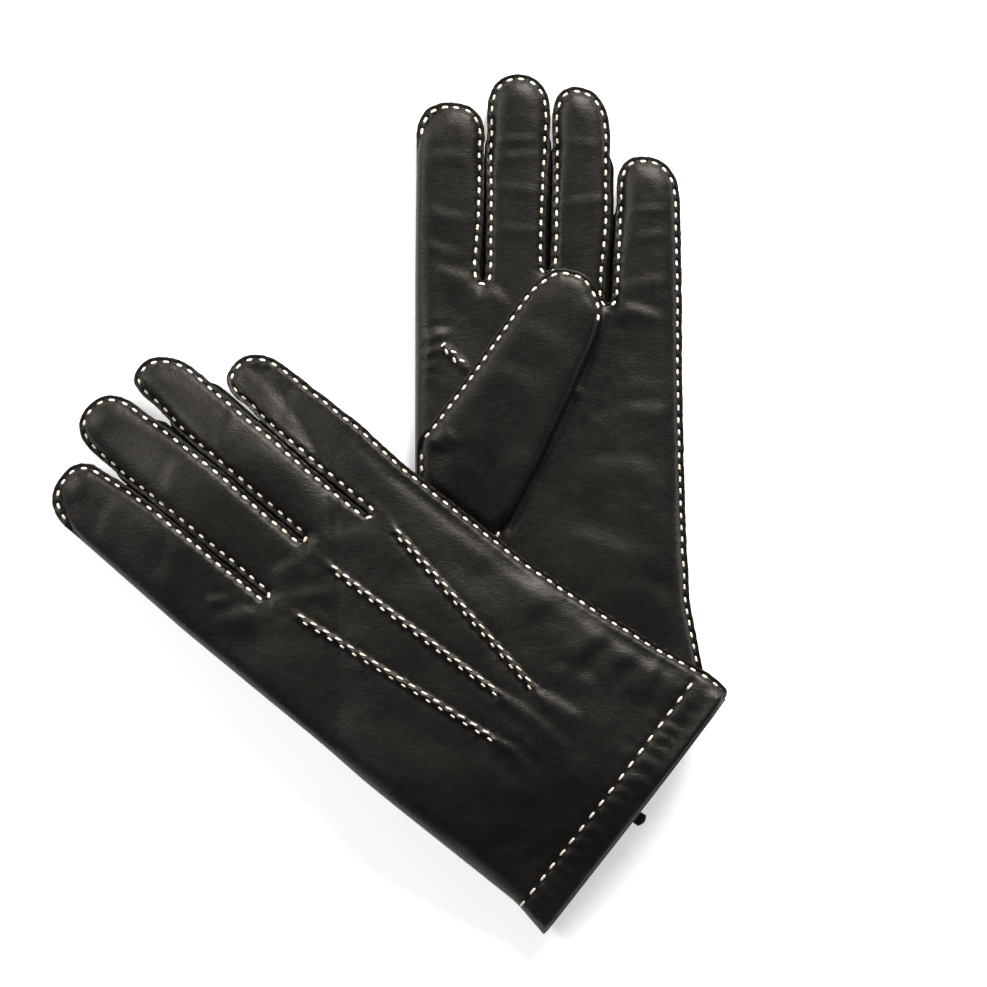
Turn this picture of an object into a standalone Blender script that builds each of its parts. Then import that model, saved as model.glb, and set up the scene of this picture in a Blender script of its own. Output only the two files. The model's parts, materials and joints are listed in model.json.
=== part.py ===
"""A pair of gentlemen's leather dress gloves, laid one across the other.

The left glove lies flat with its palm up and its thumb folded over the palm. The right glove lies
palm down across the left one's wrist, with its thumb folded under it. Each glove is worked out in
its own plan, in millimetres: u runs across the hand from the folded edge at the forefinger to the
sewn edge at the little finger, v runs along it from the cuff to the fingertips, and w is the height
above the back of the hand, so that the palm is on top. Laying turns the plan into metres, +Z up.
"""

import math

import bmesh
import bpy
from mathutils import Matrix, Vector

MM = 0.001

# Leather, lining and thread
LEATHER = 1.0  # the outer skin
LINING = 0.7  # the knitted lining, and the skived turn-in at the cuff
EASE = 0.45  # between one layer and the next
HAND_EASE = 1.0  # the same in the hand, which is laid in folds
SEAM_GAP = 0.4  # between the pieces that a seam joins
KNUCKLE_GAP = 1.1  # between the hand and a finger, where the leather bends
THREAD = 0.9
DRAPE_CLEAR = 0.6  # more room under a thread that crosses a fold
SEAM_WELT = 1.0  # the sewn margin on each side of a finger

# Thickness of the flat glove, outside to outside
GRADE = 1.0  # length and width of the whole pattern, as a larger or smaller glove is cut
HAND_THICK = 13.0
FINGER_THICK = 11.0
THUMB_THICK = 10.0

# The hand
HAND_FLATNESS = 1.12  # over 1 makes a flat on the top and the bottom of a section
FINGER_FLATNESS = 1.06
SIDE_ROUND = 2.6  # exponent of the section's rounded sides
EDGE_INSET = 1.6  # a layer's inset at the sides of the hand, over its inset at the top
HEM_WIDTH = 13.0
BACK_ARCH = 2.2  # how far the back of the palm-up glove stands off the table under its points
ARCH_MIDDLE = 100.0
ARCH_HALF_LENGTH = 66.0
ARCH_RAMP = 20.0
VENT_LENGTH = 14.0
VENT_OVERHANG = 3.5
VENT_WIDTH = 3.0

# Fourchettes
FOURCHETTE_CLEAR_ANGLE = 0.13  # of the section, in radians, at each of a fourchette's seams
FOURCHETTE_REACH = 0.80  # share of the finger's length
FOURCHETTE_CELLS = 4  # of the FINGER_ANGLES round a finger

# Resolution
FINGER_ANGLES = 16
FINGER_STATIONS = (0.0, 0.3, 0.6, 0.8, 0.88, 0.94, 0.985)
HAND_STATIONS = (0.0, 0.08, 0.2, 0.35, 0.49, 0.64, 0.8, 0.92, 1.0)
THUMB_HOLE = {(4, 1), (4, 2), (4, 3)}  # the faces of the palm, by row and column, that it takes

# Each finger in its glove's plan: left and right edge at the root, the same at the shoulder below
# the tip, the tip, and the height of the root along the hand.
LEFT_FINGERS = {
    "index": dict(root=(0.7, 25.5), shoulder=(1.2, 25.6), tip=(13.6, 236.3), root_v=173.0),
    "middle": dict(root=(27.0, 48.6), shoulder=(27.7, 49.6), tip=(38.5, 246.6), root_v=176.5),
    "ring": dict(root=(50.4, 70.6), shoulder=(51.4, 71.6), tip=(61.3, 241.5), root_v=176.5),
    "little": dict(root=(72.6, 98.9), shoulder=(75.2, 97.6), tip=(86.4, 215.8), root_v=165.5),
}
RIGHT_FINGERS = {
    "index": dict(root=(9.5, 37.6), shoulder=(13.2, 38.2), tip=(25.6, 242.6), root_v=173.0),
    "middle": dict(root=(40.2, 63.2), shoulder=(41.8, 63.8), tip=(53.0, 250.4), root_v=176.5),
    "ring": dict(root=(66.2, 86.2), shoulder=(69.6, 88.0), tip=(79.0, 244.0), root_v=176.5),
    "little": dict(root=(88.4, 108.9), shoulder=(90.0, 108.8), tip=(99.0, 216.6), root_v=165.5),
}

# The edges of the hand as (v, u) from cuff to knuckles, and the cuff's (fold side, seam side) height
LEFT_HAND = dict(
    fold=((0.0, 1.6), (60.0, 0.6), (177.0, 0.7)),
    seam=((0.0, 107.5), (27.0, 106.6), (53.0, 101.7), (83.0, 100.2), (127.0, 99.2), (177.0, 98.9)),
    cuff=(0.0, 14.0),
)
RIGHT_HAND = dict(
    fold=((0.0, 0.0), (51.0, 4.7), (100.0, 7.2), (177.0, 9.5)),
    seam=((0.0, 112.4), (34.0, 109.8), (73.0, 106.7), (109.0, 106.3), (147.0, 106.9), (177.0, 108.9)),
    cuff=(0.0, 0.0),
)

# The thumb in its glove's plan: where it folds, its tip, and half its width at each
THUMB_ANGLES = 16
LEFT_THUMB = dict(root=(17.7, 95.4), tip=(60.5, 172.0), half_root=19.5, half_shoulder=14.6)
RIGHT_THUMB = dict(root=(22.7, 99.4), tip=(59.5, 177.0), half_root=17.0, half_shoulder=14.6)

# Three points, the raised tucks on the back, as (top, bottom) in the right glove's plan
POINTS = (((39.3, 142.3), (47.1, 58.2)), ((60.9, 143.3), (61.2, 66.9)), ((85.7, 132.7), (70.4, 58.0)))
LEFT_POINT_SHIFT = (-8.5, 0.0)

# How the right glove lies on the left one
RIGHT_CORNER = (47.7, -69.7)  # its cuff's fold-side corner, in the left glove's plan
RIGHT_TURN = 52.84  # degrees
STACK_CLEAR = 2.0  # between the two gloves, for the threads that stand up from both
THUMB_CLEAR = 0.8  # under the right thumb
STACK_RISE = HAND_THICK + STACK_CLEAR  # underside of the right glove where it lies on the left one
THUMB_RISE = THUMB_THICK + SEAM_GAP + THUMB_CLEAR  # underside of the right glove over its own thumb
DROOP = 78.0  # how far beyond the left glove it comes down to the table
THUMB_DROOP = 54.0
LEFT_FOOTPRINT = ((-2.0, -4.0), (109.0, 250.0))


def clip(value, low, high):
    return max(low, min(high, value))


def lerp(a, b, share):
    return a + (b - a) * share


def smooth(share):
    share = clip(share, 0.0, 1.0)
    return share * share * (3.0 - 2.0 * share)


def along(table, v):
    """u at the height v of an edge given as (v, u) pairs, in straight runs."""
    for (v0, u0), (v1, u1) in zip(table, table[1:]):
        if v <= v1:
            return lerp(u0, u1, (v - v0) / (v1 - v0))
    return table[-1][1]


def section(angle, half_width, thickness, flatness):
    """(offset, height) of a flattened tube's section, counted from its middle."""
    c, s = math.cos(angle), math.sin(angle)
    power = 2.0 / SIDE_ROUND
    across = math.copysign(abs(c) ** power, c) * half_width
    up = clip(math.copysign(abs(s) ** power, s) * flatness, -1.0, 1.0)
    return across, up * thickness / 2.0


class Glove:
    """One glove's plan, and how it is laid."""

    def __init__(self, side, hand, fingers, thumb, palm_up):
        self.side = side
        self.hand = hand
        self.fingers = fingers
        self.thumb = thumb
        self.palm_up = palm_up
        self.arch = BACK_ARCH if palm_up else 0.0
        self.finger_base = 0.0 if palm_up else HAND_THICK - FINGER_THICK

    def to_table(self, u, v):
        """A plan point of this glove in the left glove's plan."""
        if self.palm_up:
            return u, v
        turn = math.radians(RIGHT_TURN)
        return (
            RIGHT_CORNER[0] + u * math.cos(turn) - v * math.sin(turn),
            RIGHT_CORNER[1] + u * math.sin(turn) + v * math.cos(turn),
        )

    def lay(self, point):
        """A plan point (u, v, w) as it lies, in metres."""
        x, y = self.to_table(point[0], point[1])
        w = point[2]
        z = w if self.palm_up else HAND_THICK - w + rise(x, y)
        return Vector((x * GRADE, y * GRADE, z)) * MM


def rise(x, y):
    """Height of the right glove's underside above the table."""
    (x0, y0), (x1, y1) = LEFT_FOOTPRINT
    outside = math.hypot(max(x0 - x, x - x1, 0.0), max(y0 - y, y - y1, 0.0))
    over_left = STACK_RISE * smooth(1.0 - outside / DROOP)
    a = Vector(RIGHT.to_table(*RIGHT.thumb["root"]))
    b = Vector(RIGHT.to_table(*RIGHT.thumb["tip"]))
    share = clip((Vector((x, y)) - a).dot(b - a) / (b - a).length_squared, 0.0, 1.0)
    away = (Vector((x, y)) - a.lerp(b, share)).length - RIGHT.thumb["half_root"]
    over_thumb = THUMB_RISE * smooth(1.0 - max(away, 0.0) / THUMB_DROOP)
    return max(over_left, over_thumb)


LEFT = Glove("left", LEFT_HAND, LEFT_FINGERS, LEFT_THUMB, palm_up=True)
RIGHT = Glove("right", RIGHT_HAND, RIGHT_FINGERS, RIGHT_THUMB, palm_up=False)


# Surfaces ---------------------------------------------------------------------------------------


def finger_point(glove, name, share, angle, inset):
    """A point of a finger's surface, inset from its outside, at a share of its length."""
    finger = glove.fingers[name]
    root = Vector((sum(finger["root"]) / 2.0, finger["root_v"]))
    tip = Vector(finger["tip"])
    tip -= (tip - root).normalized() * SEAM_WELT
    direction = (tip - root).normalized()
    across = Vector((direction.y, -direction.x))
    half_root = (finger["root"][1] - finger["root"][0]) / 2.0 - SEAM_WELT
    half_shoulder = (finger["shoulder"][1] - finger["shoulder"][0]) / 2.0 - SEAM_WELT
    half = lerp(half_root, half_shoulder, smooth(share))
    length = (tip - root).length
    return stall_point(root, direction, across, length, half, FINGER_THICK, glove.finger_base, share,
                       angle, inset)


def thumb_point(glove, share, angle, inset):
    """A point of the thumb's surface. The thumb lies on the palm."""
    root = Vector(glove.thumb["root"])
    tip = Vector(glove.thumb["tip"])
    direction = (tip - root).normalized()
    across = Vector((direction.y, -direction.x))
    half = lerp(glove.thumb["half_root"], glove.thumb["half_shoulder"], smooth(share))
    length = (tip - root).length
    base = HAND_THICK + SEAM_GAP
    return stall_point(root, direction, across, length, half, THUMB_THICK, base, share, angle, inset)


def stall_point(root, direction, across, length, half, thick, base, share, angle, inset):
    """A point of a finger-shaped tube: an arch in plan at its tip, a flattened section along it."""
    arch = half / length
    past = clip((share - (1.0 - arch)) / arch, 0.0, 1.0)
    narrowing = math.sqrt(max(1.0 - past * past, 0.0))
    flattening = lerp(1.0, 0.45, past ** 2)
    reach = share * (length - inset) if share > 0.5 else share * length
    offset, height = section(angle, max(half * narrowing - inset, 0.8), thick * flattening - 2.0 * inset,
                             FINGER_FLATNESS)
    place = root + direction * reach + across * offset
    return (place.x, place.y, base + thick / 2.0 + height)


def hand_fractions(glove):
    """Shares of the hand's width, edge to edge, that follow the fingers, with each one's knuckle."""
    left = glove.fingers["index"]["root"][0]
    width = glove.fingers["little"]["root"][1] - left
    samples = [(0.035, glove.fingers["index"]["root_v"])]
    for finger in glove.fingers.values():
        a, b = finger["root"]
        inner = (a + SEAM_WELT, (a + b) / 2.0, b - SEAM_WELT)
        samples += [((u - left) / width, finger["root_v"]) for u in inner]
    samples[1] = (0.09, samples[1][1])
    samples[-1] = (0.91, samples[-1][1])
    samples.append((0.965, glove.fingers["little"]["root_v"]))
    last_of_ring = len(samples) - 5
    before, after = samples[last_of_ring], samples[last_of_ring + 1]
    samples.insert(last_of_ring + 1, ((before[0] + after[0]) / 2.0, (before[1] + after[1]) / 2.0))
    return samples


def hand_point(glove, station, fraction, knuckle_v, top, inset):
    """A point of the hand's surface. station runs 0 to 1 from the cuff to the knuckles."""
    cuff_v = lerp(glove.hand["cuff"][0], glove.hand["cuff"][1], fraction)
    v = lerp(cuff_v, knuckle_v - KNUCKLE_GAP, station)
    left = along(glove.hand["fold"], v) + EDGE_INSET * inset
    right = along(glove.hand["seam"], v) - EDGE_INSET * inset - SEAM_WELT
    across = 2.0 * fraction - 1.0
    thick = hand_thickness(v)
    lift = (1.0 - abs(across) ** SIDE_ROUND) ** (1.0 / SIDE_ROUND) * HAND_FLATNESS
    lift = clip(lift, 0.0, 1.0) * (thick / 2.0 - inset)
    middle = hand_middle(glove, v)
    height = middle + lift if top else middle - lift + back_arch(glove, v, across)
    return (lerp(left, right, fraction), v, height)


def hand_thickness(v):
    return lerp(HAND_THICK, FINGER_THICK, smooth((v - 110.0) / 60.0))


def hand_middle(glove, v):
    return hand_thickness(v) / 2.0 + (0.0 if glove.palm_up else HAND_THICK - hand_thickness(v))


def back_arch(glove, v, across):
    """How far the back of the hand stands off the table, to leave room for its points."""
    lengthways = smooth((ARCH_HALF_LENGTH - abs(v - ARCH_MIDDLE)) / ARCH_RAMP)
    return glove.arch * lengthways * smooth((1.0 - abs(across - 0.05)) * 1.6)


# Making objects ---------------------------------------------------------------------------------


def material(name, colour, roughness):
    made = bpy.data.materials.get(name) or bpy.data.materials.new(name)
    made.use_nodes = True
    shader = made.node_tree.nodes["Principled BSDF"]
    shader.inputs["Base Color"].default_value = (*colour, 1.0)
    shader.inputs["Roughness"].default_value = roughness
    shader.inputs["Metallic"].default_value = 0.0
    return made


def nappa():
    return material("black_nappa", (0.035, 0.032, 0.029), 0.45)


def knit():
    return material("grey_knit", (0.13, 0.125, 0.12), 0.9)


def cotton():
    return material("cream_thread", (0.82, 0.76, 0.68), 0.7)


def joined_to(body, obj):
    """Parents obj to a body's empty, and leaves it where it is."""
    obj.parent = body
    obj.matrix_parent_inverse = Matrix.Identity(4)
    return obj


def skin(name, body, rows, finish, thickness, closed_tip=False, skip=(), even=True):
    """A shell: rows of points bridged into a sleeve and thickened inwards. skip leaves out faces."""
    mesh = bmesh.new()
    origin = body_origin(body)
    rings = [[mesh.verts.new(point - origin) for point in row] for row in rows]
    count = len(rings[0])
    for i, (low, high) in enumerate(zip(rings, rings[1:])):
        for j in range(count):
            if (i, j) in skip:
                continue
            k = (j + 1) % count
            mesh.faces.new((low[j], low[k], high[k], high[j]))
    if closed_tip:
        bmesh.ops.contextual_create(mesh, geom=rings[-1])
    bmesh.ops.recalc_face_normals(mesh, faces=mesh.faces)
    bmesh.ops.delete(mesh, geom=[v for v in mesh.verts if not v.link_faces], context="VERTS")
    return thickened(name, body, mesh, finish, thickness, even)


def patch(name, body, rows, finish, thickness, inside):
    """A strip of skin: an open grid of points, thickened towards inside."""
    mesh = bmesh.new()
    origin = body_origin(body)
    grid = [[mesh.verts.new(point - origin) for point in row] for row in rows]
    for low, high in zip(grid, grid[1:]):
        for j in range(len(low) - 1):
            mesh.faces.new((low[j], low[j + 1], high[j + 1], high[j]))
    mesh.faces.ensure_lookup_table()
    mesh.normal_update()
    face = mesh.faces[len(mesh.faces) // 2]
    if face.normal.dot(inside - origin - face.calc_center_median()) > 0.0:
        bmesh.ops.reverse_faces(mesh, faces=mesh.faces)
    return thickened(name, body, mesh, finish, thickness)


def thickened(name, body, mesh, finish, thickness, even=True):
    data = bpy.data.meshes.new(name)
    mesh.to_mesh(data)
    mesh.free()
    data.shade_smooth()
    data.materials.append(finish)
    obj = bpy.data.objects.new(name, data)
    bpy.context.scene.collection.objects.link(obj)
    solid = obj.modifiers.new("thickness", "SOLIDIFY")
    solid.thickness = thickness * MM
    solid.offset = -1.0
    solid.use_even_offset = even
    solid.use_quality_normals = True
    solid.use_rim = True
    return joined_to(body, obj)


def thread(name, body, points, diameter=THREAD):
    """A line of sewing, as a slim bar along it."""
    curve = bpy.data.curves.new(name, "CURVE")
    curve.dimensions = "3D"
    spline = curve.splines.new("POLY")
    spline.points.add(len(points) - 1)
    origin = body_origin(body)
    for slot, point in zip(spline.points, points):
        slot.co = (*(point - origin), 1.0)
    curve.bevel_depth = diameter / 2.0 * MM
    curve.bevel_resolution = 0
    curve.use_fill_caps = True
    curve.materials.append(cotton())
    obj = bpy.data.objects.new(name, curve)
    bpy.context.scene.collection.objects.link(obj)
    return joined_to(body, obj)


ORIGINS = {}


def body_origin(body):
    return ORIGINS[body.name]


def body(name, place, parent=None):
    """An empty for a piece that moves, with its origin on the joint's axis."""
    empty = bpy.data.objects.new(name, None)
    empty.empty_display_size = 10.0 * MM
    bpy.context.scene.collection.objects.link(empty)
    ORIGINS[name] = place.copy()
    if parent is not None:
        empty.parent = parent
        empty.location = place - ORIGINS[parent.name]
    else:
        empty.location = place
    return empty


# The pieces -------------------------------------------------------------------------------------


def finger_rows(glove, name, inset, start=0.0):
    rows = []
    for share in FINGER_STATIONS:
        angles = [2.0 * math.pi * i / FINGER_ANGLES for i in range(FINGER_ANGLES)]
        rows.append([glove.lay(finger_point(glove, name, max(share, start), a, inset)) for a in angles])
    return rows


def fourchette_sides(name):
    """The sides of a finger that face another one: 0 towards the little finger, 1 towards the index."""
    return {"index": (0,), "middle": (0, 1), "ring": (0, 1), "little": (1,)}[name]


def side_name(name, side):
    neighbours = ["index", "middle", "ring", "little"]
    other = neighbours[neighbours.index(name) + (1 if side == 0 else -1)]
    return f"{name}_fourchette_by_{other}"


def make_finger(glove, name, body_empty):
    """A finger of the trank, its fourchettes, its lining and its sewing."""
    window_rows = [i for i, share in enumerate(FINGER_STATIONS[:-1]) if share < FOURCHETTE_REACH]
    half_cells = FOURCHETTE_CELLS // 2
    skip = set()
    for side in fourchette_sides(name):
        middle = 0 if side == 0 else FINGER_ANGLES // 2
        for i in window_rows:
            skip |= {(i, (middle + j) % FINGER_ANGLES) for j in range(-half_cells, half_cells)}
    skin(f"{glove.side}_{name}_stall", body_empty, finger_rows(glove, name, 0.0), nappa(), LEATHER,
         closed_tip=True, skip=skip)
    window_end = FINGER_STATIONS[window_rows[-1] + 1]
    length = glove.fingers[name]["tip"][1] - glove.fingers[name]["root_v"]
    gap = SEAM_GAP / length
    cell = 2.0 * math.pi / FINGER_ANGLES
    half_angle = half_cells * cell - FOURCHETTE_CLEAR_ANGLE
    for side in fourchette_sides(name):
        centre = 0.0 if side == 0 else math.pi
        shares = [lerp(0.0, window_end - gap, t) for t in (0.0, 0.375, 0.75, 1.0)]
        angles = [centre + half_angle * t for t in (-1.0, -0.5, 0.0, 0.5, 1.0)]
        rows = [[glove.lay(finger_point(glove, name, s, a, 0.0)) for a in angles] for s in shares]
        inside = glove.lay(finger_point(glove, name, 0.4, centre, 8.0))
        patch(f"{glove.side}_{side_name(name, side)}", body_empty, rows, nappa(), LEATHER, inside)
    layer = LEATHER + EASE
    skin(f"{glove.side}_{name}_lining", body_empty, finger_rows(glove, name, layer, start=0.01), knit(),
         LINING, closed_tip=True)
    seam_angle = math.radians(48.0) * (1.0 if glove.palm_up else -1.0)
    outside = -(THREAD / 2.0 + EASE)
    up = [(s, seam_angle) for s in (0.02, 0.3, 0.6, 0.8, 0.9, 0.96)]
    down = [(s, math.pi - seam_angle) for s, _ in reversed(up)]
    path = [glove.lay(finger_point(glove, name, s, a, outside)) for s, a in up + down]
    thread(f"{glove.side}_{name}_seam_thread", body_empty, path)


def make_thumb(glove, body_empty):
    """The thumb, cut in one piece and closed by a seam, with its lining and sewing."""
    angles = [2.0 * math.pi * i / THUMB_ANGLES for i in range(THUMB_ANGLES)]

    def rows(inset, start=0.0):
        return [[glove.lay(thumb_point(glove, max(s, start), a, inset)) for a in angles] for s in FINGER_STATIONS]

    skin(f"{glove.side}_thumb_stall", body_empty, rows(0.0), nappa(), LEATHER, closed_tip=True)
    skin(f"{glove.side}_thumb_lining", body_empty, rows(LEATHER + EASE, 0.01), knit(), LINING,
         closed_tip=True)
    outside = -(THREAD / 2.0 + EASE)
    path = [(s, math.pi) for s in (0.04, 0.3, 0.6, 0.8, 0.88, 0.94, 0.985, 1.0)]
    path += [(s, 0.0) for s in (1.0, 0.985, 0.94, 0.88, 0.8)]
    thread(f"{glove.side}_thumb_seam_thread", body_empty,
           [glove.lay(thumb_point(glove, s, a, outside)) for s, a in path])


def hand_rows(glove, inset, first_v=None):
    """Rings of the hand from the cuff to the knuckles, up over the palm and back under the hand."""
    samples = hand_fractions(glove)
    rows = []
    for station in HAND_STATIONS:
        ring = [hand_point(glove, station, f, k, True, inset) for f, k in samples]
        edge = glove.fingers["little"]["root_v"]
        ring.append(hand_point(glove, station, 1.0, edge, True, inset))
        ring += [hand_point(glove, station, f, k, False, inset) for f, k in reversed(samples)]
        ring.append(hand_point(glove, station, 0.0, glove.fingers["index"]["root_v"], True, inset))
        if first_v is not None:
            ring = [(u, max(v, first_v + glove_cuff(glove, u)), w) for u, v, w in ring]
        rows.append(ring)
    return rows


def glove_cuff(glove, u):
    """Height of the cuff's edge at u."""
    width = glove.hand["seam"][0][1] - glove.hand["fold"][0][1]
    share = clip((u - glove.hand["fold"][0][1]) / width, 0.0, 1.0)
    return lerp(glove.hand["cuff"][0], glove.hand["cuff"][1], share)


def make_hand(glove, body_empty):
    """The trank's hand, its hem, lining, points, side seam and vent."""
    plan = hand_rows(glove, 0.0)
    rows = [[glove.lay(p) for p in ring] for ring in plan]
    skin(f"{glove.side}_trank", body_empty, rows, nappa(), LEATHER, skip=THUMB_HOLE, even=False)
    layer = LEATHER + HAND_EASE
    lining = [[glove.lay(p) for p in ring] for ring in hand_rows(glove, layer, first_v=HEM_WIDTH)]
    skin(f"{glove.side}_hand_lining", body_empty, lining[1:], knit(), LINING,
         skip={(i - 1, j) for i, j in THUMB_HOLE}, even=False)
    turn_in = hand_rows(glove, layer)[0]
    start = [(u, v + 0.6, w) for u, v, w in turn_in]
    end = hand_rows(glove, layer, first_v=HEM_WIDTH - SEAM_GAP)[0]
    band = [[glove.lay(p) for p in ring] for ring in (start, end)]
    skin(f"{glove.side}_hem_turn_in", body_empty, band, nappa(), LINING)
    make_hand_sewing(glove, body_empty)


def make_hand_sewing(glove, body_empty):
    clear = THREAD / 2.0 + EASE
    side_seam = []
    for v in (20.0, 27.0, 34.0, 43.0, 53.0, 68.0, 83.0, 105.0, 127.0, 145.0, 163.0):
        u = along(glove.hand["seam"], v) - SEAM_WELT + clear + DRAPE_CLEAR
        side_seam.append(glove.lay((u, v, hand_middle(glove, v))))
    thread(f"{glove.side}_side_seam_thread", body_empty, side_seam)
    height = HAND_THICK + clear if glove.palm_up else -clear
    hem = []
    for share in (0.14, 0.32, 0.5, 0.68, 0.86):
        v = HEM_WIDTH + lerp(glove.hand["cuff"][0], glove.hand["cuff"][1], share)
        u = lerp(along(glove.hand["fold"], v), along(glove.hand["seam"], v), share)
        hem.append(glove.lay((u, v, height)))
    thread(f"{glove.side}_hem_thread", body_empty, hem)
    for number, (top, bottom) in enumerate(POINTS, start=1):
        shift = Vector(LEFT_POINT_SHIFT if glove.palm_up else (0.0, 0.0))
        line = []
        for share in (0.05, 0.2, 0.35, 0.5, 0.65, 0.8, 0.95):
            place = Vector(top).lerp(Vector(bottom), share) + shift
            low = point_height(glove, place, clear)
            line.append(glove.lay((place.x, place.y, low)))
        thread(f"{glove.side}_point_{number}_thread", body_empty, line)
    make_vent(glove, body_empty)


def point_height(glove, place, clear):
    """Height of a point's sewing, just off the back of the hand."""
    left = along(glove.hand["fold"], place.y)
    right = along(glove.hand["seam"], place.y) - SEAM_WELT
    across = 2.0 * (place.x - left) / (right - left) - 1.0
    top = hand_middle(glove, place.y) - hand_thickness(place.y) / 2.0
    return top + back_arch(glove, place.y, across) - clear - DRAPE_CLEAR


def make_vent(glove, body_empty):
    """The bound edge of the little vent at the middle of the palm's cuff."""
    u = lerp(along(glove.hand["fold"], 0.0), along(glove.hand["seam"], 0.0), 0.5)
    low = glove_cuff(glove, u) - VENT_OVERHANG
    height = HAND_THICK + EASE + LEATHER
    rows = []
    for v in (low, low + VENT_OVERHANG, low + VENT_LENGTH / 2.0, low + VENT_LENGTH):
        rows.append([glove.lay((u - VENT_WIDTH / 2.0, v, height)), glove.lay((u + VENT_WIDTH / 2.0, v, height))])
    inside = glove.lay((u, low + VENT_LENGTH / 2.0, HAND_THICK / 2.0))
    patch(f"{glove.side}_vent_binding", body_empty, rows, nappa(), LEATHER, inside)


def knuckle(glove, name):
    """The middle of a finger's hinge line, on the side that faces up."""
    finger = glove.fingers[name]
    height = FINGER_THICK if glove.palm_up else glove.finger_base
    return glove.lay((sum(finger["root"]) / 2.0, finger["root_v"], height))


def thumb_fold(glove):
    """The middle of the thumb's hinge line, on the side away from the palm."""
    return glove.lay((*glove.thumb["root"], HAND_THICK + SEAM_GAP + THUMB_THICK))


def make_glove(glove, hand_body):
    make_hand(glove, hand_body)
    for name in glove.fingers:
        make_finger(glove, name, body(f"{glove.side}_{name}_knuckle", knuckle(glove, name), hand_body))
    make_thumb(glove, body(f"{glove.side}_thumb_fold", thumb_fold(glove), hand_body))


def extent():
    """Lowest and highest corner of everything made."""
    bpy.context.view_layer.update()
    graph = bpy.context.evaluated_depsgraph_get()
    low = Vector((1e9,) * 3)
    high = Vector((-1e9,) * 3)
    for obj in bpy.context.scene.objects:
        if obj.type == "EMPTY":
            continue
        evaluated = obj.evaluated_get(graph)
        mesh = evaluated.to_mesh()
        for vertex in mesh.vertices:
            place = evaluated.matrix_world @ vertex.co
            low = Vector(map(min, low, place))
            high = Vector(map(max, high, place))
        evaluated.to_mesh_clear()
    return low, high


def main():
    for obj in list(bpy.data.objects):
        bpy.data.objects.remove(obj)
    left_hand = body("left_hand", Vector((0.0, 0.0, 0.0)))
    right_hand = body("right_hand", RIGHT.lay((56.0, 90.0, HAND_THICK / 2.0)), left_hand)
    make_glove(LEFT, left_hand)
    make_glove(RIGHT, right_hand)
    low, high = extent()
    left_hand.location -= Vector(((low.x + high.x) / 2.0, (low.y + high.y) / 2.0, low.z))
    bpy.context.view_layer.update()


main()
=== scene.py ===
# %% [markdown]
# # A pair of hand-sewn leather dress gloves
# Two black gloves lie crossed on a table, one palm up and one palm down. Each is cut from thin, soft
# leather and sewn with a cream running stitch along raw edges that stand out as a narrow fin.
# Everything here is worked out in each glove's own flat plan, in millimetres, as a glove cutter draws
# it: u across the hand from the folded edge, v from the cuff to the fingertips, and w the height
# from the back of the hand to the palm. The plan is then laid on the table.

# %% Frame and tools
import json
import math

import bmesh
import bpy
import numpy as np
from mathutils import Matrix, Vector
from mathutils.geometry import delaunay_2d_cdt


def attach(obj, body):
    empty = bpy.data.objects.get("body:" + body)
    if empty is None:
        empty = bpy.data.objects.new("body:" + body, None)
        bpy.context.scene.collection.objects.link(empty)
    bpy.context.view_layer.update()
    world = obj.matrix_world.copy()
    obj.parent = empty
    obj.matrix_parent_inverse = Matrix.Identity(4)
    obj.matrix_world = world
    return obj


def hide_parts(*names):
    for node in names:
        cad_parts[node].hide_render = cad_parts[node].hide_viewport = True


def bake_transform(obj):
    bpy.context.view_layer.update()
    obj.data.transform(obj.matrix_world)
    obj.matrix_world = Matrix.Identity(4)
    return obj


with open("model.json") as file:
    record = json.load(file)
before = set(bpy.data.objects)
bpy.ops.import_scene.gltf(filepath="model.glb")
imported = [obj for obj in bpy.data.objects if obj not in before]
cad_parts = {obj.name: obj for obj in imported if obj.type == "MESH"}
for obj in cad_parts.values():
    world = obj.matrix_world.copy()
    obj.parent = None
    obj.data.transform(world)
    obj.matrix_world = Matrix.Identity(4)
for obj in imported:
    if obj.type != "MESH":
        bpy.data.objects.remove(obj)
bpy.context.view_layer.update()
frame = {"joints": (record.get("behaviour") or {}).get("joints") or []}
JOINTS = {joint["name"]: joint for joint in frame["joints"]}
MM = 0.001

# %% [markdown]
# ## How the gloves are laid
# The left glove lies flat, so its plan is only moved. The right glove is turned over, swung round and
# draped: its underside rises where it lies on the other glove and on its own thumb, and comes down to
# the table around them. One function of the place on the table gives that height, so that every piece
# of the right glove rides over the same hill and none cuts into its neighbour.

# %% Laying a plan on the table
HAND_THICK = 13.0
FINGER_THICK = 11.0
LEATHER = 0.75
INDEX_KNUCKLE = np.array((13.1, 173.0, FINGER_THICK))
ORIGIN = np.array(JOINTS["left_index_curl"]["pos_m"]) / MM - INDEX_KNUCKLE
RIGHT_CORNER = np.array((47.7, -69.7))
RIGHT_TURN = math.radians(52.84)
STACK_RISE, THUMB_RISE = 15.0, 11.2
DROOP, THUMB_DROOP = 78.0, 54.0
STACK_FLOOR, FLOOR_SLOPE = 14.2, 2.5
LEFT_LIFT, RIGHT_LIFT = 0.06, 0.1
LEFT_BOX = np.array(((-2.0, -4.0), (109.0, 250.0)))
RIGHT_THUMB_ROOT, RIGHT_THUMB_TIP, RIGHT_THUMB_HALF = (22.7, 99.4), (59.5, 177.0), 17.0


def smooth(x):
    x = np.clip(x, 0.0, 1.0)
    return x * x * (3.0 - 2.0 * x)


def lerp(a, b, t):
    return a + (b - a) * t


def rotated(plan, angle):
    c, s = math.cos(angle), math.sin(angle)
    return np.c_[plan[:, 0] * c - plan[:, 1] * s, plan[:, 0] * s + plan[:, 1] * c]


def swung(plan):
    """Right-glove plan points in the left glove's plan."""
    return RIGHT_CORNER + rotated(np.atleast_2d(plan), RIGHT_TURN)


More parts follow.
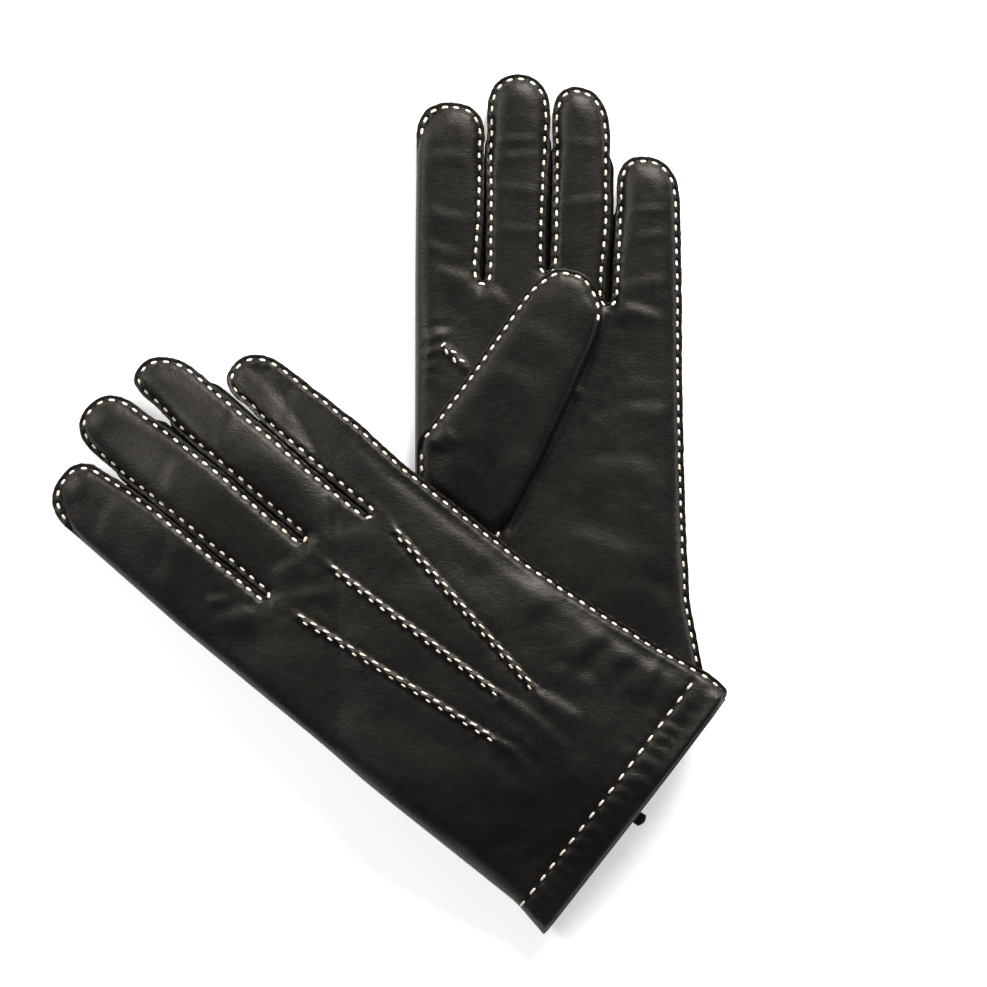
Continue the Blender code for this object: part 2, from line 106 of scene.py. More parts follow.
def unswung(place):
    """Points of the left glove's plan in the right glove's."""
    return rotated(np.atleast_2d(place) - RIGHT_CORNER, -RIGHT_TURN)


def outside_left(place):
    """How far places in the left glove's plan lie outside the box round that glove."""
    low, high = LEFT_BOX
    return np.hypot(*np.maximum(np.maximum(low - place, place - high), 0.0).T)


def rise(place):
    """Height of the right glove's underside above the table, at places in the left glove's plan."""
    over_left = STACK_RISE * smooth(1.0 - outside_left(place) / DROOP)
    a, b = swung(RIGHT_THUMB_ROOT)[0], swung(RIGHT_THUMB_TIP)[0]
    share = np.clip((place - a) @ (b - a) / ((b - a) @ (b - a)), 0.0, 1.0)
    away = np.linalg.norm(place - (a + share[:, None] * (b - a)), axis=1) - RIGHT_THUMB_HALF
    return np.maximum(over_left, THUMB_RISE * smooth(1.0 - np.maximum(away, 0.0) / THUMB_DROOP))


def laid(side, plan, w):
    """World places, in metres, of plan points at heights w."""
    plan = np.atleast_2d(plan)
    w = np.broadcast_to(w, (len(plan),))
    if side == "left":
        return (np.c_[plan, np.maximum(w, LEFT_LIFT)] + ORIGIN) * MM
    place = swung(plan)
    floor_z = np.maximum(STACK_FLOOR - FLOOR_SLOPE * outside_left(place), RIGHT_LIFT)
    z = np.maximum(HAND_THICK - w + rise(place), floor_z)
    return (np.c_[place, z] + ORIGIN) * MM


print("left glove's plan starts at", (ORIGIN * MM).round(4))

# %% [markdown]
# ## The pattern
# A glove's outline is a row of tongues. Each is given by its edges at the root, its edges at the
# shoulder where the tip begins to round, and the tip itself. The slits between the fingers are cut
# deeper on the back than on the palm, which is what lets a real glove close into a fist.

# %% Finger tongues and hand edges
FINGERS = ("index", "middle", "ring", "little")
TONGUES = {
    "left": (
        dict(root=(0.7, 25.7), root_v=173.0, left=(1.2, 224.0), tip=(14.2, 236.4), right=(26.3, 223.0)),
        dict(root=(27.0, 49.6), root_v=176.5, left=(27.3, 232.0), tip=(39.0, 246.8), right=(50.6, 231.0)),
        dict(root=(51.0, 72.2), root_v=176.5, left=(51.2, 228.0), tip=(61.2, 242.0), right=(72.5, 225.0)),
        dict(root=(73.4, 98.9), root_v=165.5, left=(75.0, 203.0), tip=(86.0, 216.4), right=(98.3, 200.0)),
    ),
    "right": (
        dict(root=(9.4, 37.7), root_v=173.0, left=(13.1, 229.0), tip=(26.2, 243.0), right=(38.0, 230.0)),
        dict(root=(39.5, 63.2), root_v=176.5, left=(41.0, 237.0), tip=(53.0, 250.8), right=(64.4, 236.0)),
        dict(root=(65.4, 86.5), root_v=176.5, left=(68.9, 232.0), tip=(77.4, 244.4), right=(88.2, 229.0)),
        dict(root=(87.9, 108.9), root_v=165.5, left=(89.3, 204.0), tip=(97.8, 217.4), right=(109.2, 203.0)),
    ),
}
FOLD = {
    "left": ((1.6, 0.0), (0.6, 60.0), (0.7, 173.0)),
    "right": ((0.0, 0.0), (3.4, 15.0), (4.7, 51.0), (5.9, 86.4), (7.4, 110.0), (9.4, 173.0)),
}
SEAM = {
    "left": ((98.9, 165.5), (99.1, 127.0), (100.2, 83.0), (101.7, 53.0), (106.6, 27.0), (107.5, 14.0)),
    "right": ((108.9, 165.5), (106.9, 147.0), (106.3, 109.5), (105.9, 88.4), (106.9, 73.0), (107.9, 56.4),
              (109.9, 34.4), (113.1, 11.7), (113.2, 3.4), (112.4, 1.0), (110.7, 0.0)),
}
CUFF = {"left": (0.0, 14.0), "right": (0.0, 0.0)}
PALM_SLITS = {
    "left": ((25.5, 171.0), (49.4, 174.6), (71.6, 163.0)),
    "right": ((38.6, 170.5), (63.8, 174.4), (86.0, 162.8)),
}
BACK_SLITS = {
    "left": ((25.4, 156.0), (49.2, 158.0), (71.2, 144.5)),
    "right": ((38.0, 155.6), (62.8, 157.8), (84.8, 143.6)),
}
VALLEYS = {  # up each slit: v, the middle of the gap, and half its width
    "left": (
        ((178.0, 25.6, 1.2), (187.0, 26.1, 0.8), (196.0, 26.3, 0.5), (210.0, 26.5, 0.4), (219.0, 26.5, 0.5)),
        ((180.0, 49.5, 1.1), (187.0, 49.7, 1.1), (203.0, 50.2, 1.0), (217.0, 50.6, 0.8)),
        ((172.0, 72.1, 1.4), (179.0, 72.6, 1.2), (186.0, 73.2, 1.0), (193.0, 73.5, 0.9)),
    ),
    "right": (
        ((178.0, 38.9, 0.4), (192.0, 39.4, 0.35), (202.0, 39.7, 0.35), (213.0, 39.8, 0.4),
         (223.0, 39.6, 0.6)),
        ((180.0, 63.9, 0.45), (194.0, 64.9, 0.4), (206.0, 65.4, 0.4), (216.0, 65.7, 0.6)),
        ((170.0, 85.6, 0.5), (176.0, 86.0, 0.45), (187.0, 86.8, 0.4), (197.0, 87.4, 0.6)),
    ),
}
POINTS = {
    "right": (((39.3, 142.3), (47.1, 58.2)), ((60.9, 143.3), (61.2, 66.9)), ((85.7, 132.7), (70.4, 58.0))),
    "left": (((30.8, 142.3), (38.6, 58.2)), ((52.4, 143.3), (52.7, 66.9)), ((77.2, 132.7), (61.9, 58.0))),
}
TIP_SQUARENESS = 2.35
STITCH_PITCH = {"left": 4.42, "right": 4.75}
FIN = 1.9
CUFF_HALF = 4.3
STITCH_IN = 1.85
HEM = 13.0  # from the cuff's edge to the row of hem stitches
print("tongues:", {side: len(tongues) for side, tongues in TONGUES.items()})

# %% [markdown]
# ## Lines on the pattern
# Seams, folds and rows of stitches are lines on the leather, each given by a few points. A maker
# works along them with a tape measure, so the first tool gives the length run up to every point of a
# line. Even stitches and evenly spaced edge points both come from it.

# %% Lines, tips and thickness
def run_of(line):
    """The length of a line up to each of its points."""
    return np.r_[0.0, np.cumsum(np.linalg.norm(np.diff(line, axis=0), axis=1))]


def on_line(line, run, at):
    """The places at given lengths along a line."""
    return np.c_[np.interp(at, run, line[:, 0]), np.interp(at, run, line[:, 1])]


def evenly(line, count):
    """The same line with count evenly spaced points."""
    run = run_of(line)
    return on_line(line, run, np.linspace(0.0, run[-1], count))


def resampled(line, step):
    """The same line with evenly spaced points, about step apart."""
    line = np.asarray(line, float)
    run = np.r_[0.0, np.cumsum(np.hypot(*np.diff(line, axis=0).T))]
    return on_line(line, run, np.linspace(0.0, run[-1], max(2, round(run[-1] / step) + 1)))


def directions(start, end):
    """The direction of a straight line, the direction to its left, and its length."""
    line = np.array(end) - np.array(start)
    length = np.linalg.norm(line)
    along = line / length
    return along, np.array((-along[1], along[0])), length


def rounded_tip(tongue):
    """The squared-off half ellipse round a fingertip, from its left shoulder to its right one."""
    left, tip, right = (np.array(tongue[key]) for key in ("left", "tip", "right"))
    middle = (left + right) / 2.0
    power = 2.0 / TIP_SQUARENESS
    turn = np.linspace(0.0, math.pi / 2.0, 24)[:, None]
    up, across = np.sin(turn) ** power, np.cos(turn) ** power
    rising = middle + (left - middle) * across + (tip - middle) * up
    falling = middle + (right - middle) * across[::-1] + (tip - middle) * up[::-1]
    return np.vstack((rising, falling[1:]))


def half_thick(v):
    """Half the glove's thickness at a height along the hand."""
    return lerp(HAND_THICK, FINGER_THICK, smooth((v - 110.0) / 60.0)) / 2.0


def middle_height(side, v):
    """Height of the plane half way between palm and back."""
    half = half_thick(v)
    return half if side == "left" else HAND_THICK - half


print("right side seam:", round(run_of(SEAM["right"])[-1], 1), "mm")

# %% [markdown]
# ## Softness
# No line or surface of a worn glove is quite even. One table of random heights, smoothed between its
# points, gives every swelling, crease wander and ragged edge. Its seed is fixed, so the gloves come
# out the same each time. A texture node could shade such lumps, but not move the stitches with them.

# %% Even curves and uneven leather
LATTICE_SIDE = 96
rng = np.random.default_rng(7)
LATTICE = rng.random((4, LATTICE_SIDE + 1, LATTICE_SIDE + 1)) - 0.5


def quarter(t):
    """0 to 1 along a quarter of a circle: steep at first, level at the end."""
    t = np.clip(t, 0.0, 1.0)
    return np.sqrt(np.maximum(1.0 - (1.0 - t) ** 2, 0.0))


def averaged(values, reach, times=1):
    """A closed row of values, each averaged with its neighbours."""
    for _ in range(times):
        values = sum(np.roll(values, k, axis=0) for k in range(-reach, reach + 1)) / (2 * reach + 1)
    return values


def soft_field(plan, size, layer, stretch=(1.0, 1.0)):
    """A smooth random height between about -0.5 and 0.5, with lumps about size millimetres wide."""
    x = (plan[:, 0] / stretch[0] / size) % LATTICE_SIDE
    y = (plan[:, 1] / stretch[1] / size) % LATTICE_SIDE
    i, j = np.floor(x).astype(int), np.floor(y).astype(int)
    fx, fy = smooth(x - i), smooth(y - j)
    grid = LATTICE[layer]
    i1, j1 = (i + 1) % LATTICE_SIDE, (j + 1) % LATTICE_SIDE
    low = lerp(grid[i, j], grid[i1, j], fx)
    return lerp(low, lerp(grid[i, j1], grid[i1, j1], fx), fy)


print("random heights:", LATTICE.shape)

# %% [markdown]
# ## The edge of a piece of leather
# Everything about a sewn piece is measured from its cut edge: where the stitches go, how the leather
# dips at the seam and how far in it takes to swell. So an outline keeps, at each of its steps, a kind,
# an inward direction and a fin's width, and tells any point inside which step is nearest to it.

# %% Outlines and rows of dashes
FOLD_KIND, CAP_KIND, SLIT_KIND, SIDE_KIND, CUFF_KIND, BASE_KIND = range(6)
SEWN_KINDS = (CAP_KIND, SLIT_KIND, SIDE_KIND)
BATCH = 3000  # points measured at a time, to keep the tables small
PINCH_REACH = 5.5


def closest(plan, marks):
    """Distance from each plan point to the nearest mark."""
    found = np.empty(len(plan))
    for start in range(0, len(plan), BATCH):
        part = plan[start:start + BATCH]
        found[start:start + BATCH] = ((part[:, None] - marks[None]) ** 2).sum(axis=2).min(axis=1)
    return np.sqrt(found)


def dashes_on(line, pitch, first, jitter):
    """Middles and directions of a row of dashes, and the middles of the gaps between them."""
    run = run_of(line)
    at = (np.arange(int(run[-1] / pitch)) + first) * pitch
    at = at + jitter * (rng.random(len(at)) - 0.5)
    along = on_line(line, run, at + 0.9) - on_line(line, run, at - 0.9)
    return on_line(line, run, at), along, on_line(line, run, (at[1:] + at[:-1]) / 2.0)


def pinched(plan, distance, dashes, gaps):
    """Leather drawn in under every dash and standing up between them."""
    height = np.zeros(len(plan))
    near = distance < PINCH_REACH
    if near.any():
        drawn = closest(plan[near], dashes)
        proud = closest(plan[near], gaps)
        height[near] = 0.26 * np.exp(-(proud / 0.95) ** 2) - 0.42 * np.exp(-(drawn / 1.15) ** 2)
    return height


class Outline:
    """A closed line of cut leather. Each step of it has a kind and an inward direction."""

    def trace(self):
        tangent = averaged(np.roll(self.edge, -1, axis=0) - np.roll(self.edge, 1, axis=0), 2)
        tangent /= np.linalg.norm(tangent, axis=1)[:, None]
        self.inward = np.c_[tangent[:, 1], -tangent[:, 0]]

    def nearest(self, plan):
        """Distance to the outline, and which step of it is nearest."""
        plan = np.atleast_2d(plan)
        distance, index = np.empty(len(plan)), np.empty(len(plan), int)
        following = np.roll(self.edge, -1, axis=0)
        for start in range(0, len(plan), BATCH):
            part = plan[start:start + BATCH]
            at = ((part[:, None, :] - self.edge[None]) ** 2).sum(axis=2).argmin(axis=1)
            best = np.full(len(part), np.inf)
            for shift in (-1, 0):
                a = self.edge[(at + shift) % len(self.edge)]
                b = following[(at + shift) % len(self.edge)]
                along = np.clip(((part - a) * (b - a)).sum(1) / ((b - a) ** 2).sum(1), 0.0, 1.0)
                best = np.minimum(best, np.linalg.norm(part - a - along[:, None] * (b - a), axis=1))
            distance[start:start + BATCH], index[start:start + BATCH] = best, at
        return distance, index

    def rising(self, plan):
        """Distance to the outline, the nearest step, and how far the leather has swelled, 0 to 1."""
        distance, step = self.nearest(plan)
        return distance, step, quarter((distance - self.fin[step]) / self.swell[step])

    def sewing(self, plan, distance, step):
        """What the seam adds to the height: a lip at the edge, a groove and a pinch at each dash."""
        lip = 0.25 * np.exp(-((distance - 0.6) / 0.55) ** 2)
        groove = 0.22 * np.exp(-((distance - STITCH_IN) / 0.75) ** 2)
        return self.sewn[step] * (lip - groove) + pinched(plan, distance, self.dashes, self.gaps)


print("kinds of edge:", BASE_KIND + 1)

# %% [markdown]
# ## One face of a glove
# A face is the whole palm or the whole back, fingers and all, in one skin. Its outline is walked once
# round, and every step of it knows what it is: a fold, a sewn edge, a slit or the cuff. That says how
# high the edge lies, how wide its fin is and how far in the leather takes to swell to full thickness.
# The nearest step of the outline then gives the height of any point inside.

# %% Walking the outline
EDGE_STEP, LONG_STEP = 0.7, 1.3
SWELL = {FOLD_KIND: 7.0, CAP_KIND: 7.5, SLIT_KIND: 6.0, SIDE_KIND: 9.0, CUFF_KIND: 6.5}
SEWN_HALF = LEATHER + 0.1
FOLD_SEWN_FROM = 215.0
CORNER_FIN, CORNER_AT = 2.3, (4.5, 8.5)


def outline_runs(side, slits):
    """The lines of a face's outline, once round, each with its kind and its finger."""
    tongues = TONGUES[side]
    runs = [(list(FOLD[side]) + [tongues[0]["left"]], FOLD_KIND, 0)]
    for k, ((u, v), valley) in enumerate(zip(slits, VALLEYS[side])):
        wide = valley[0][2] * 0.85
        down = [(middle - half, at) for at, middle, half in reversed(valley)]
        up = [(middle + half, at) for at, middle, half in valley]
        runs.append((rounded_tip(tongues[k]), CAP_KIND, k))
        runs.append(([tongues[k]["right"]] + down + [(u - wide, v), (u, v - wide)], SLIT_KIND, k))
        runs.append(([(u, v - wide), (u + wide, v)] + up + [tongues[k + 1]["left"]], SLIT_KIND, k + 1))
    little = tongues[3]
    root = (little["root"][1], little["root_v"])
    runs.append((rounded_tip(little), CAP_KIND, 3))
    runs.append(([little["right"], root] + list(SEAM[side][1:]), SIDE_KIND, 3))
    runs.append(([SEAM[side][-1], FOLD[side][0]], CUFF_KIND, 3))
    return runs


class Face(Outline):
    """The palm or the back of one glove, as an outline and a height over it."""

    def __init__(self, side, palm):
        self.side, self.palm = side, palm
        self.slits = (PALM_SLITS if palm else BACK_SLITS)[side]
        self.walk()
        self.measure()
        sewn = np.isin(self.kind, SEWN_KINDS)
        line = averaged(self.edge, 2, 2)[sewn] + self.inward[sewn] * STITCH_IN
        first = 0.5 if palm else 1.0
        self.dashes, self.dash_along, self.gaps = dashes_on(line, STITCH_PITCH[side], first, 0.5)

    def walk(self):
        points, kinds, fingers = [], [], []
        for line, kind, finger in outline_runs(self.side, self.slits):
            line = resampled(line, EDGE_STEP if kind in SEWN_KINDS else LONG_STEP)[:-1]
            points.append(line)
            kinds += [kind] * len(line)
            fingers += [finger] * len(line)
        self.kind, self.finger = np.array(kinds), np.array(fingers)
        raw = np.vstack(points)
        eased = averaged(raw, 1, 3)
        keep = self.kind == CUFF_KIND
        keep |= np.roll(keep, 1) | np.roll(keep, -1) | np.roll(keep, 2)
        eased[keep] = raw[keep]
        self.edge = eased
        self.trace()
        sewn = (self.kind != FOLD_KIND) & ~keep
        run = run_of(eased)
        uneven = soft_field(np.c_[run, run * 0.0 + 50.0 + 9.0 * self.palm], 3.4, 0)
        uneven = uneven + 0.6 * soft_field(np.c_[run, run * 0.0 + 20.0], 1.5, 1)
        self.edge = eased + self.inward * np.where(sewn, 0.42 * uneven, 0.0)[:, None]
        self.trace()

    def edge_half(self):
        """How far the leather's edge lies from the glove's middle plane, at each step."""
        half = np.where(np.isin(self.kind, (CAP_KIND, SIDE_KIND)), SEWN_HALF, 0.0)
        for k, tongue in enumerate(TONGUES[self.side]):
            own = (self.kind == SLIT_KIND) & (self.finger == k)
            v = self.edge[own, 1]
            floor_v = min(self.slits[max(k - 1, 0)][1], self.slits[min(k, 2)][1])
            top_v = (tongue["left"][1] + tongue["right"][1]) / 2.0
            share = (v - floor_v) / (top_v - floor_v)
            half[own] = lerp(half_thick(v) - 2.2, SEWN_HALF, smooth((share - 0.5) / 0.48))
        return half

    def measure(self):
        """Gives each step its half thickness, the width of its fin and the reach of its swelling."""
        swell = np.array([SWELL[kind] for kind in self.kind])
        fin = np.where(np.isin(self.kind, (FOLD_KIND, CUFF_KIND)), 0.0, FIN)
        index_cap = (self.kind == CAP_KIND) & (self.finger == 0)
        corner = np.array(TONGUES[self.side][0]["left"]) + np.array(CORNER_AT)
        from_corner = np.hypot(*(self.edge - corner).T)
        fin = fin + np.where(index_cap, CORNER_FIN * np.exp(-(from_corner / 6.0) ** 2), 0.0)
        plain = np.c_[self.edge_half(), swell, fin]
        eased = averaged(plain, 4, 2)
        cuff = self.kind == CUFF_KIND
        eased[cuff] = plain[cuff]
        u, fold_u, seam_u = self.edge[cuff, 0], FOLD[self.side][0][0], SEAM[self.side][-1][0]
        from_fold = CUFF_HALF * quarter((u - fold_u) / SWELL[FOLD_KIND])
        from_seam = lerp(SEWN_HALF, CUFF_HALF, quarter((seam_u - FIN - u) / SWELL[SIDE_KIND]))
        eased[cuff, 0] = np.minimum(from_fold, from_seam)
        plain_fold = (self.kind == FOLD_KIND) & (self.edge[:, 1] < FOLD_SEWN_FROM)
        eased[plain_fold, 0], eased[plain_fold, 2] = 0.0, 0.0
        self.half, self.swell, self.fin = eased.T
        self.sewn = np.clip(self.fin / FIN, 0.0, 1.0)

    def height(self, plan):
        """w of the face's outer surface."""
        plan = np.atleast_2d(plan)
        distance, step, share = self.rising(plan)
        half = lerp(self.half[step], half_thick(plan[:, 1]), share)
        half += self.sewing(plan, distance, step) + relief(self, plan, distance)
        middle = middle_height(self.side, plan[:, 1])
        if self.palm:
            return np.minimum(middle + half, HAND_THICK + 0.95)
        return middle - half + back_arch(self.side, plan)


def back_arch(side, plan):
    """How far the palm-up glove's back stands off the table, so that its points have room."""
    if side == "right":
        return np.zeros(len(plan))
    lengthways = smooth((66.0 - np.abs(plan[:, 1] - 100.0)) / 20.0)
    across = 2.0 * plan[:, 0] / 99.0 - 1.0
    return 2.2 * lengthways * smooth((1.0 - np.abs(across - 0.05)) * 1.6)


FACES = {(side, palm): Face(side, palm) for side in ("left", "right") for palm in (True, False)}
print("outline steps:", {key: len(face.edge) for key, face in FACES.items()})

# %% [markdown]
# ## Creases and softness
# Leather that has been worn and laid down is never flat. Broad, low swellings come from a smooth
# random field. Named creases are put where a hand has bent the glove: by the thumb, across the root
# of the fingers and towards the ends of the points. Each is a soft ridge with a furrow beside it.

# %% Creases
def turned(plan, degrees):
    """Plan points turned, and moved away from where the random heights repeat."""
    return rotated(plan, math.radians(degrees)) + 300.0


def crease(plan, start, end, height, width, bow=0.0):
    """A fold from start to end, bowed sideways: steep on its left and easy on its right."""
    along, aside, length = directions(start, end)
    t = (plan - start) @ along / length
    x = (plan - start) @ aside - bow * 4.0 * t * (1.0 - t) - 1.2 * soft_field(plan + 31.0, 7.0, 2)
    taper = smooth((t + 0.12) / 0.45) * smooth((1.12 - t) / 0.45)
    steep = np.where(x > 0.0, np.exp(-(x / width) ** 2), np.exp(-(x / (2.3 * width)) ** 2))
    furrow = 0.45 * np.exp(-((x - 1.8 * width) / width) ** 2)
    return height * taper * (steep - furrow)


def plain_ridge(plan, start, end, width):
    """A plain short ridge from start to end, 0 to 1 high."""
    along, aside, length = directions(start, end)
    s, x = (plan - start) @ along, (plan - start) @ aside
    return smooth(s / 1.6) * smooth((length - s) / 1.6) * np.exp(-(x / width) ** 2)


TACK = ((11.3, 146.6), (20.6, 136.8))
THUMB_FURROW = ((71.0, 160.0), (60.2, 129.5), (34.4, 78.0))
CREASE_STRENGTH = 1.3
CREASES = {  # start, end, height, width and bow of each
    ("left", True): (
        ((0.0, 148.0), (14.0, 151.0), 0.8, 1.5, 0.6), ((0.0, 142.7), (12.6, 146.0), 0.75, 1.2, 0.5),
        ((0.0, 138.6), (10.5, 140.6), 0.6, 1.0, 0.4), ((0.5, 134.4), (8.0, 135.6), 0.45, 0.9, 0.2),
        ((5.0, 176.0), (26.0, 169.6), 0.45, 2.2, -1.0), ((26.0, 169.0), (34.0, 160.0), 0.5, 2.0, 0.5),
        ((71.0, 160.0), (92.0, 156.0), 0.5, 1.8, 1.2), ((74.0, 168.0), (96.0, 170.5), 0.25, 1.6, 0.8),
        ((66.0, 118.0), (97.0, 122.0), 0.28, 2.6, 2.0), ((60.0, 100.0), (92.0, 96.0), 0.35, 3.4, 3.0),
        ((50.0, 82.0), (97.0, 66.0), 0.5, 5.0, -4.0), ((66.0, 60.0), (100.0, 44.0), 0.4, 4.0, 3.0),
        ((30.0, 221.0), (47.0, 223.0), 0.3, 0.9, 1.0), ((29.0, 216.0), (48.5, 217.0), 0.3, 1.0, 0.6),
        ((29.0, 205.0), (48.0, 203.0), 0.22, 1.3, 0.8), ((30.0, 190.0), (47.0, 188.0), 0.2, 1.4, 0.8),
        ((53.0, 222.0), (70.0, 220.0), 0.2, 1.0, 0.6), ((54.0, 198.0), (71.0, 200.0), 0.25, 1.3, 0.8),
        ((77.0, 195.0), (97.0, 197.0), 0.25, 0.9, 1.0), ((78.0, 186.0), (97.0, 188.0), 0.22, 1.2, 0.8),
        ((3.0, 214.0), (22.0, 217.0), 0.25, 1.5, 1.0), ((3.0, 198.0), (20.0, 193.0), 0.3, 1.8, -1.0),
        ((2.0, 186.0), (18.0, 180.0), 0.3, 1.8, -1.0),
    ),
    ("right", False): (
        ((24.0, 172.5), (29.0, 165.0), 0.55, 1.3, 0.3), ((26.0, 162.5), (31.0, 154.5), 0.6, 1.4, 0.4),
        ((18.0, 166.0), (27.0, 152.0), 0.4, 2.4, 1.5), ((44.0, 157.5), (58.0, 150.5), 0.5, 2.2, 1.0),
        ((40.0, 150.0), (54.0, 136.0), 0.45, 2.4, 1.2), ((30.0, 148.0), (46.0, 128.0), 0.45, 3.0, 2.0),
        ((66.0, 150.0), (80.0, 138.0), 0.4, 2.6, 1.4), ((14.0, 150.0), (34.0, 122.0), 0.35, 4.0, 2.5),
        ((48.3, 58.0), (45.0, 38.0), 0.5, 1.8, 0.8), ((40.0, 60.0), (36.0, 40.0), 0.4, 2.6, -1.0),
        ((69.3, 58.0), (71.5, 36.0), 0.5, 1.8, 0.8), ((61.5, 66.0), (59.0, 36.0), 0.5, 2.0, 1.2),
        ((54.0, 62.0), (52.0, 40.0), 0.35, 2.2, 0.5), ((78.0, 60.0), (84.0, 40.0), 0.35, 2.6, 1.0),
        ((104.5, 49.5), (84.0, 52.0), 0.75, 3.2, -1.6), ((102.5, 37.5), (87.0, 38.0), 0.6, 2.6, -1.0),
        ((106.0, 28.0), (90.0, 24.0), 0.55, 2.4, -0.8), ((104.0, 70.0), (88.0, 78.0), 0.45, 3.4, -2.0),
        ((104.0, 98.0), (90.0, 104.0), 0.3, 4.0, -2.0), ((37.5, 17.5), (16.0, 25.0), 0.6, 2.2, -1.0),
        ((30.0, 30.0), (8.0, 44.0), 0.5, 3.2, -2.0), ((24.0, 60.0), (8.0, 84.0), 0.35, 4.5, -2.0),
        ((12.0, 216.0), (36.0, 220.0), 0.2, 1.8, 0.8), ((41.0, 206.0), (63.0, 212.0), 0.22, 1.6, 0.8),
        ((68.0, 202.0), (87.0, 206.0), 0.22, 1.6, 0.6), ((90.0, 186.0), (108.0, 192.0), 0.25, 1.8, 0.8),
        ((92.0, 206.0), (106.0, 200.0), 0.25, 1.4, 0.8), ((14.0, 186.0), (36.0, 194.0), 0.25, 2.4, 1.0),
    ),
    ("left", False): (
        ((20.0, 150.0), (40.0, 120.0), 0.3, 4.0, 2.0), ((60.0, 140.0), (84.0, 110.0), 0.3, 4.5, 2.0),
        ((20.0, 50.0), (50.0, 30.0), 0.3, 4.0, 2.0), ((60.0, 60.0), (95.0, 40.0), 0.3, 4.0, 2.0),
    ),
    ("right", True): (
        ((20.0, 150.0), (50.0, 152.0), 0.3, 4.0, 2.0), ((60.0, 100.0), (95.0, 84.0), 0.35, 5.0, 2.0),
        ((30.0, 60.0), (80.0, 50.0), 0.35, 5.0, 3.0), ((10.0, 30.0), (60.0, 36.0), 0.3, 4.0, 2.0),
    ),
}
print("creases:", {key: len(creases) for key, creases in CREASES.items()})

# %% [markdown]
# ## Points, hem and lumps
# The points and the hem have a relief of their own: a pinched ridge that its stitches draw into a
# braid, and a line pulled in with small puckers beside it. A face adds these to its creases and to
# three sizes of random lumps, and keeps all but the sewing away from its edge.

# %% Relief
POINT_PITCH, HEM_PITCH = 5.0, 5.9
LUMPS = {True: (1.7, 0.7), False: (2.3, 1.0)}  # broad and middling, on a palm and on a back
CROWN = {"left": 1.2, "right": 3.0}
TACK_HEIGHT, FURROW_DEPTH = 1.5, 1.3


def cuff_line(side, u):
    """v of the cuff's edge."""
    share = np.clip((u - FOLD[side][0][0]) / (SEAM[side][-1][0] - FOLD[side][0][0]), 0.0, 1.0)
    return lerp(CUFF[side][0], CUFF[side][1], share)


def tuck(side, plan):
    """The three points: pinched tucks, braided by their stitches, that fade out at both ends."""
    height = np.zeros(len(plan))
    for top, bottom in POINTS[side]:
        along, aside, length = directions(top, bottom)
        s, x = (plan - top) @ along, (plan - top) @ aside
        sewn = smooth((s + 1.0) / 2.0) * smooth((length + 1.0 - s) / 2.0)
        wiggle = 0.34 * np.sin(2.0 * math.pi * s / POINT_PITCH)
        height += 1.15 * sewn * np.exp(-((x - wiggle) / 0.78) ** 2)
        height -= 0.42 * sewn * np.exp(-((np.abs(x) - 2.0) / 0.8) ** 2)
        fading = smooth((s + 15.0) / 12.0) * smooth((length + 16.0 - s) / 14.0) * (1.0 - sewn)
        height += 0.55 * fading * np.exp(-(x / 1.6) ** 2)
    return height


def hem_dip(side, plan):
    """The pulled-in line of the hem's stitches, with small puckers towards the cuff's edge."""
    from_hem = plan[:, 1] - cuff_line(side, plan[:, 0]) - HEM
    sway = 5.0 * soft_field(plan, 7.0, 1) + 0.09 * from_hem
    pucker = np.sin(2.0 * math.pi * plan[:, 0] / HEM_PITCH + sway)
    strength = 0.6 + 1.2 * soft_field(plan, 11.0, 2)
    below = smooth((-from_hem) / 2.0) * smooth((from_hem + 12.5) / 7.0)
    above = smooth(from_hem / 2.0) * smooth((9.0 - from_hem) / 7.0)
    dip = -0.7 * np.exp(-(from_hem / 1.3) ** 2)
    return dip + 0.5 * pucker * strength * (below + 0.5 * above) + 0.3 * below


def relief(face, plan, distance):
    """All that a face adds to, or takes from, its plain swelled shape."""
    inner = smooth((distance - 1.0) / 5.0)
    broad, middling = LUMPS[face.palm]
    lumps = broad * soft_field(turned(plan, 35.0), 26.0, 0, (1.0, 1.6))
    lumps += middling * soft_field(turned(plan, -20.0), 10.0, 1, (1.0, 1.7))
    lumps += 0.22 * soft_field(turned(plan, 12.0), 3.0, 2, (1.9, 1.0))
    lumps += 0.10 * soft_field(turned(plan, 70.0), 1.9, 3, (1.9, 1.0))
    hand = 0.55 + 0.45 * smooth((170.0 - plan[:, 1]) / 20.0)
    height = (lumps * hand - 0.25) * inner
    for start, end, amount, width, bow in CREASES[(face.side, face.palm)]:
        height += CREASE_STRENGTH * crease(plan, start, end, amount, width, bow) * inner
    height += hem_dip(face.side, plan) * smooth((distance - 0.2) / 3.0)
    if not face.palm:
        height += tuck(face.side, plan)
        height -= CROWN[face.side] * inner * smooth((plan[:, 0] - 66.0) / 42.0)
    elif face.side == "left":
        height += TACK_HEIGHT * plain_ridge(plan, *TACK, 0.75)
        for start, end in zip(THUMB_FURROW, THUMB_FURROW[1:]):
            height -= FURROW_DEPTH * plain_ridge(plan, start, end, 1.3)
    return height


print("middle of the right back:", FACES[("right", False)].height((55.0, 100.0)).round(2), "mm")

# %% [markdown]
# ## Shader arithmetic
# A shader is a graph of nodes, and its sums are nodes too. Placing each by hand hides the formula, so a
# small class wraps a socket and lets the maths be written as ordinary expressions. Every node, sums
# included, comes from one method, which takes its type, its settings and what its sockets hold.

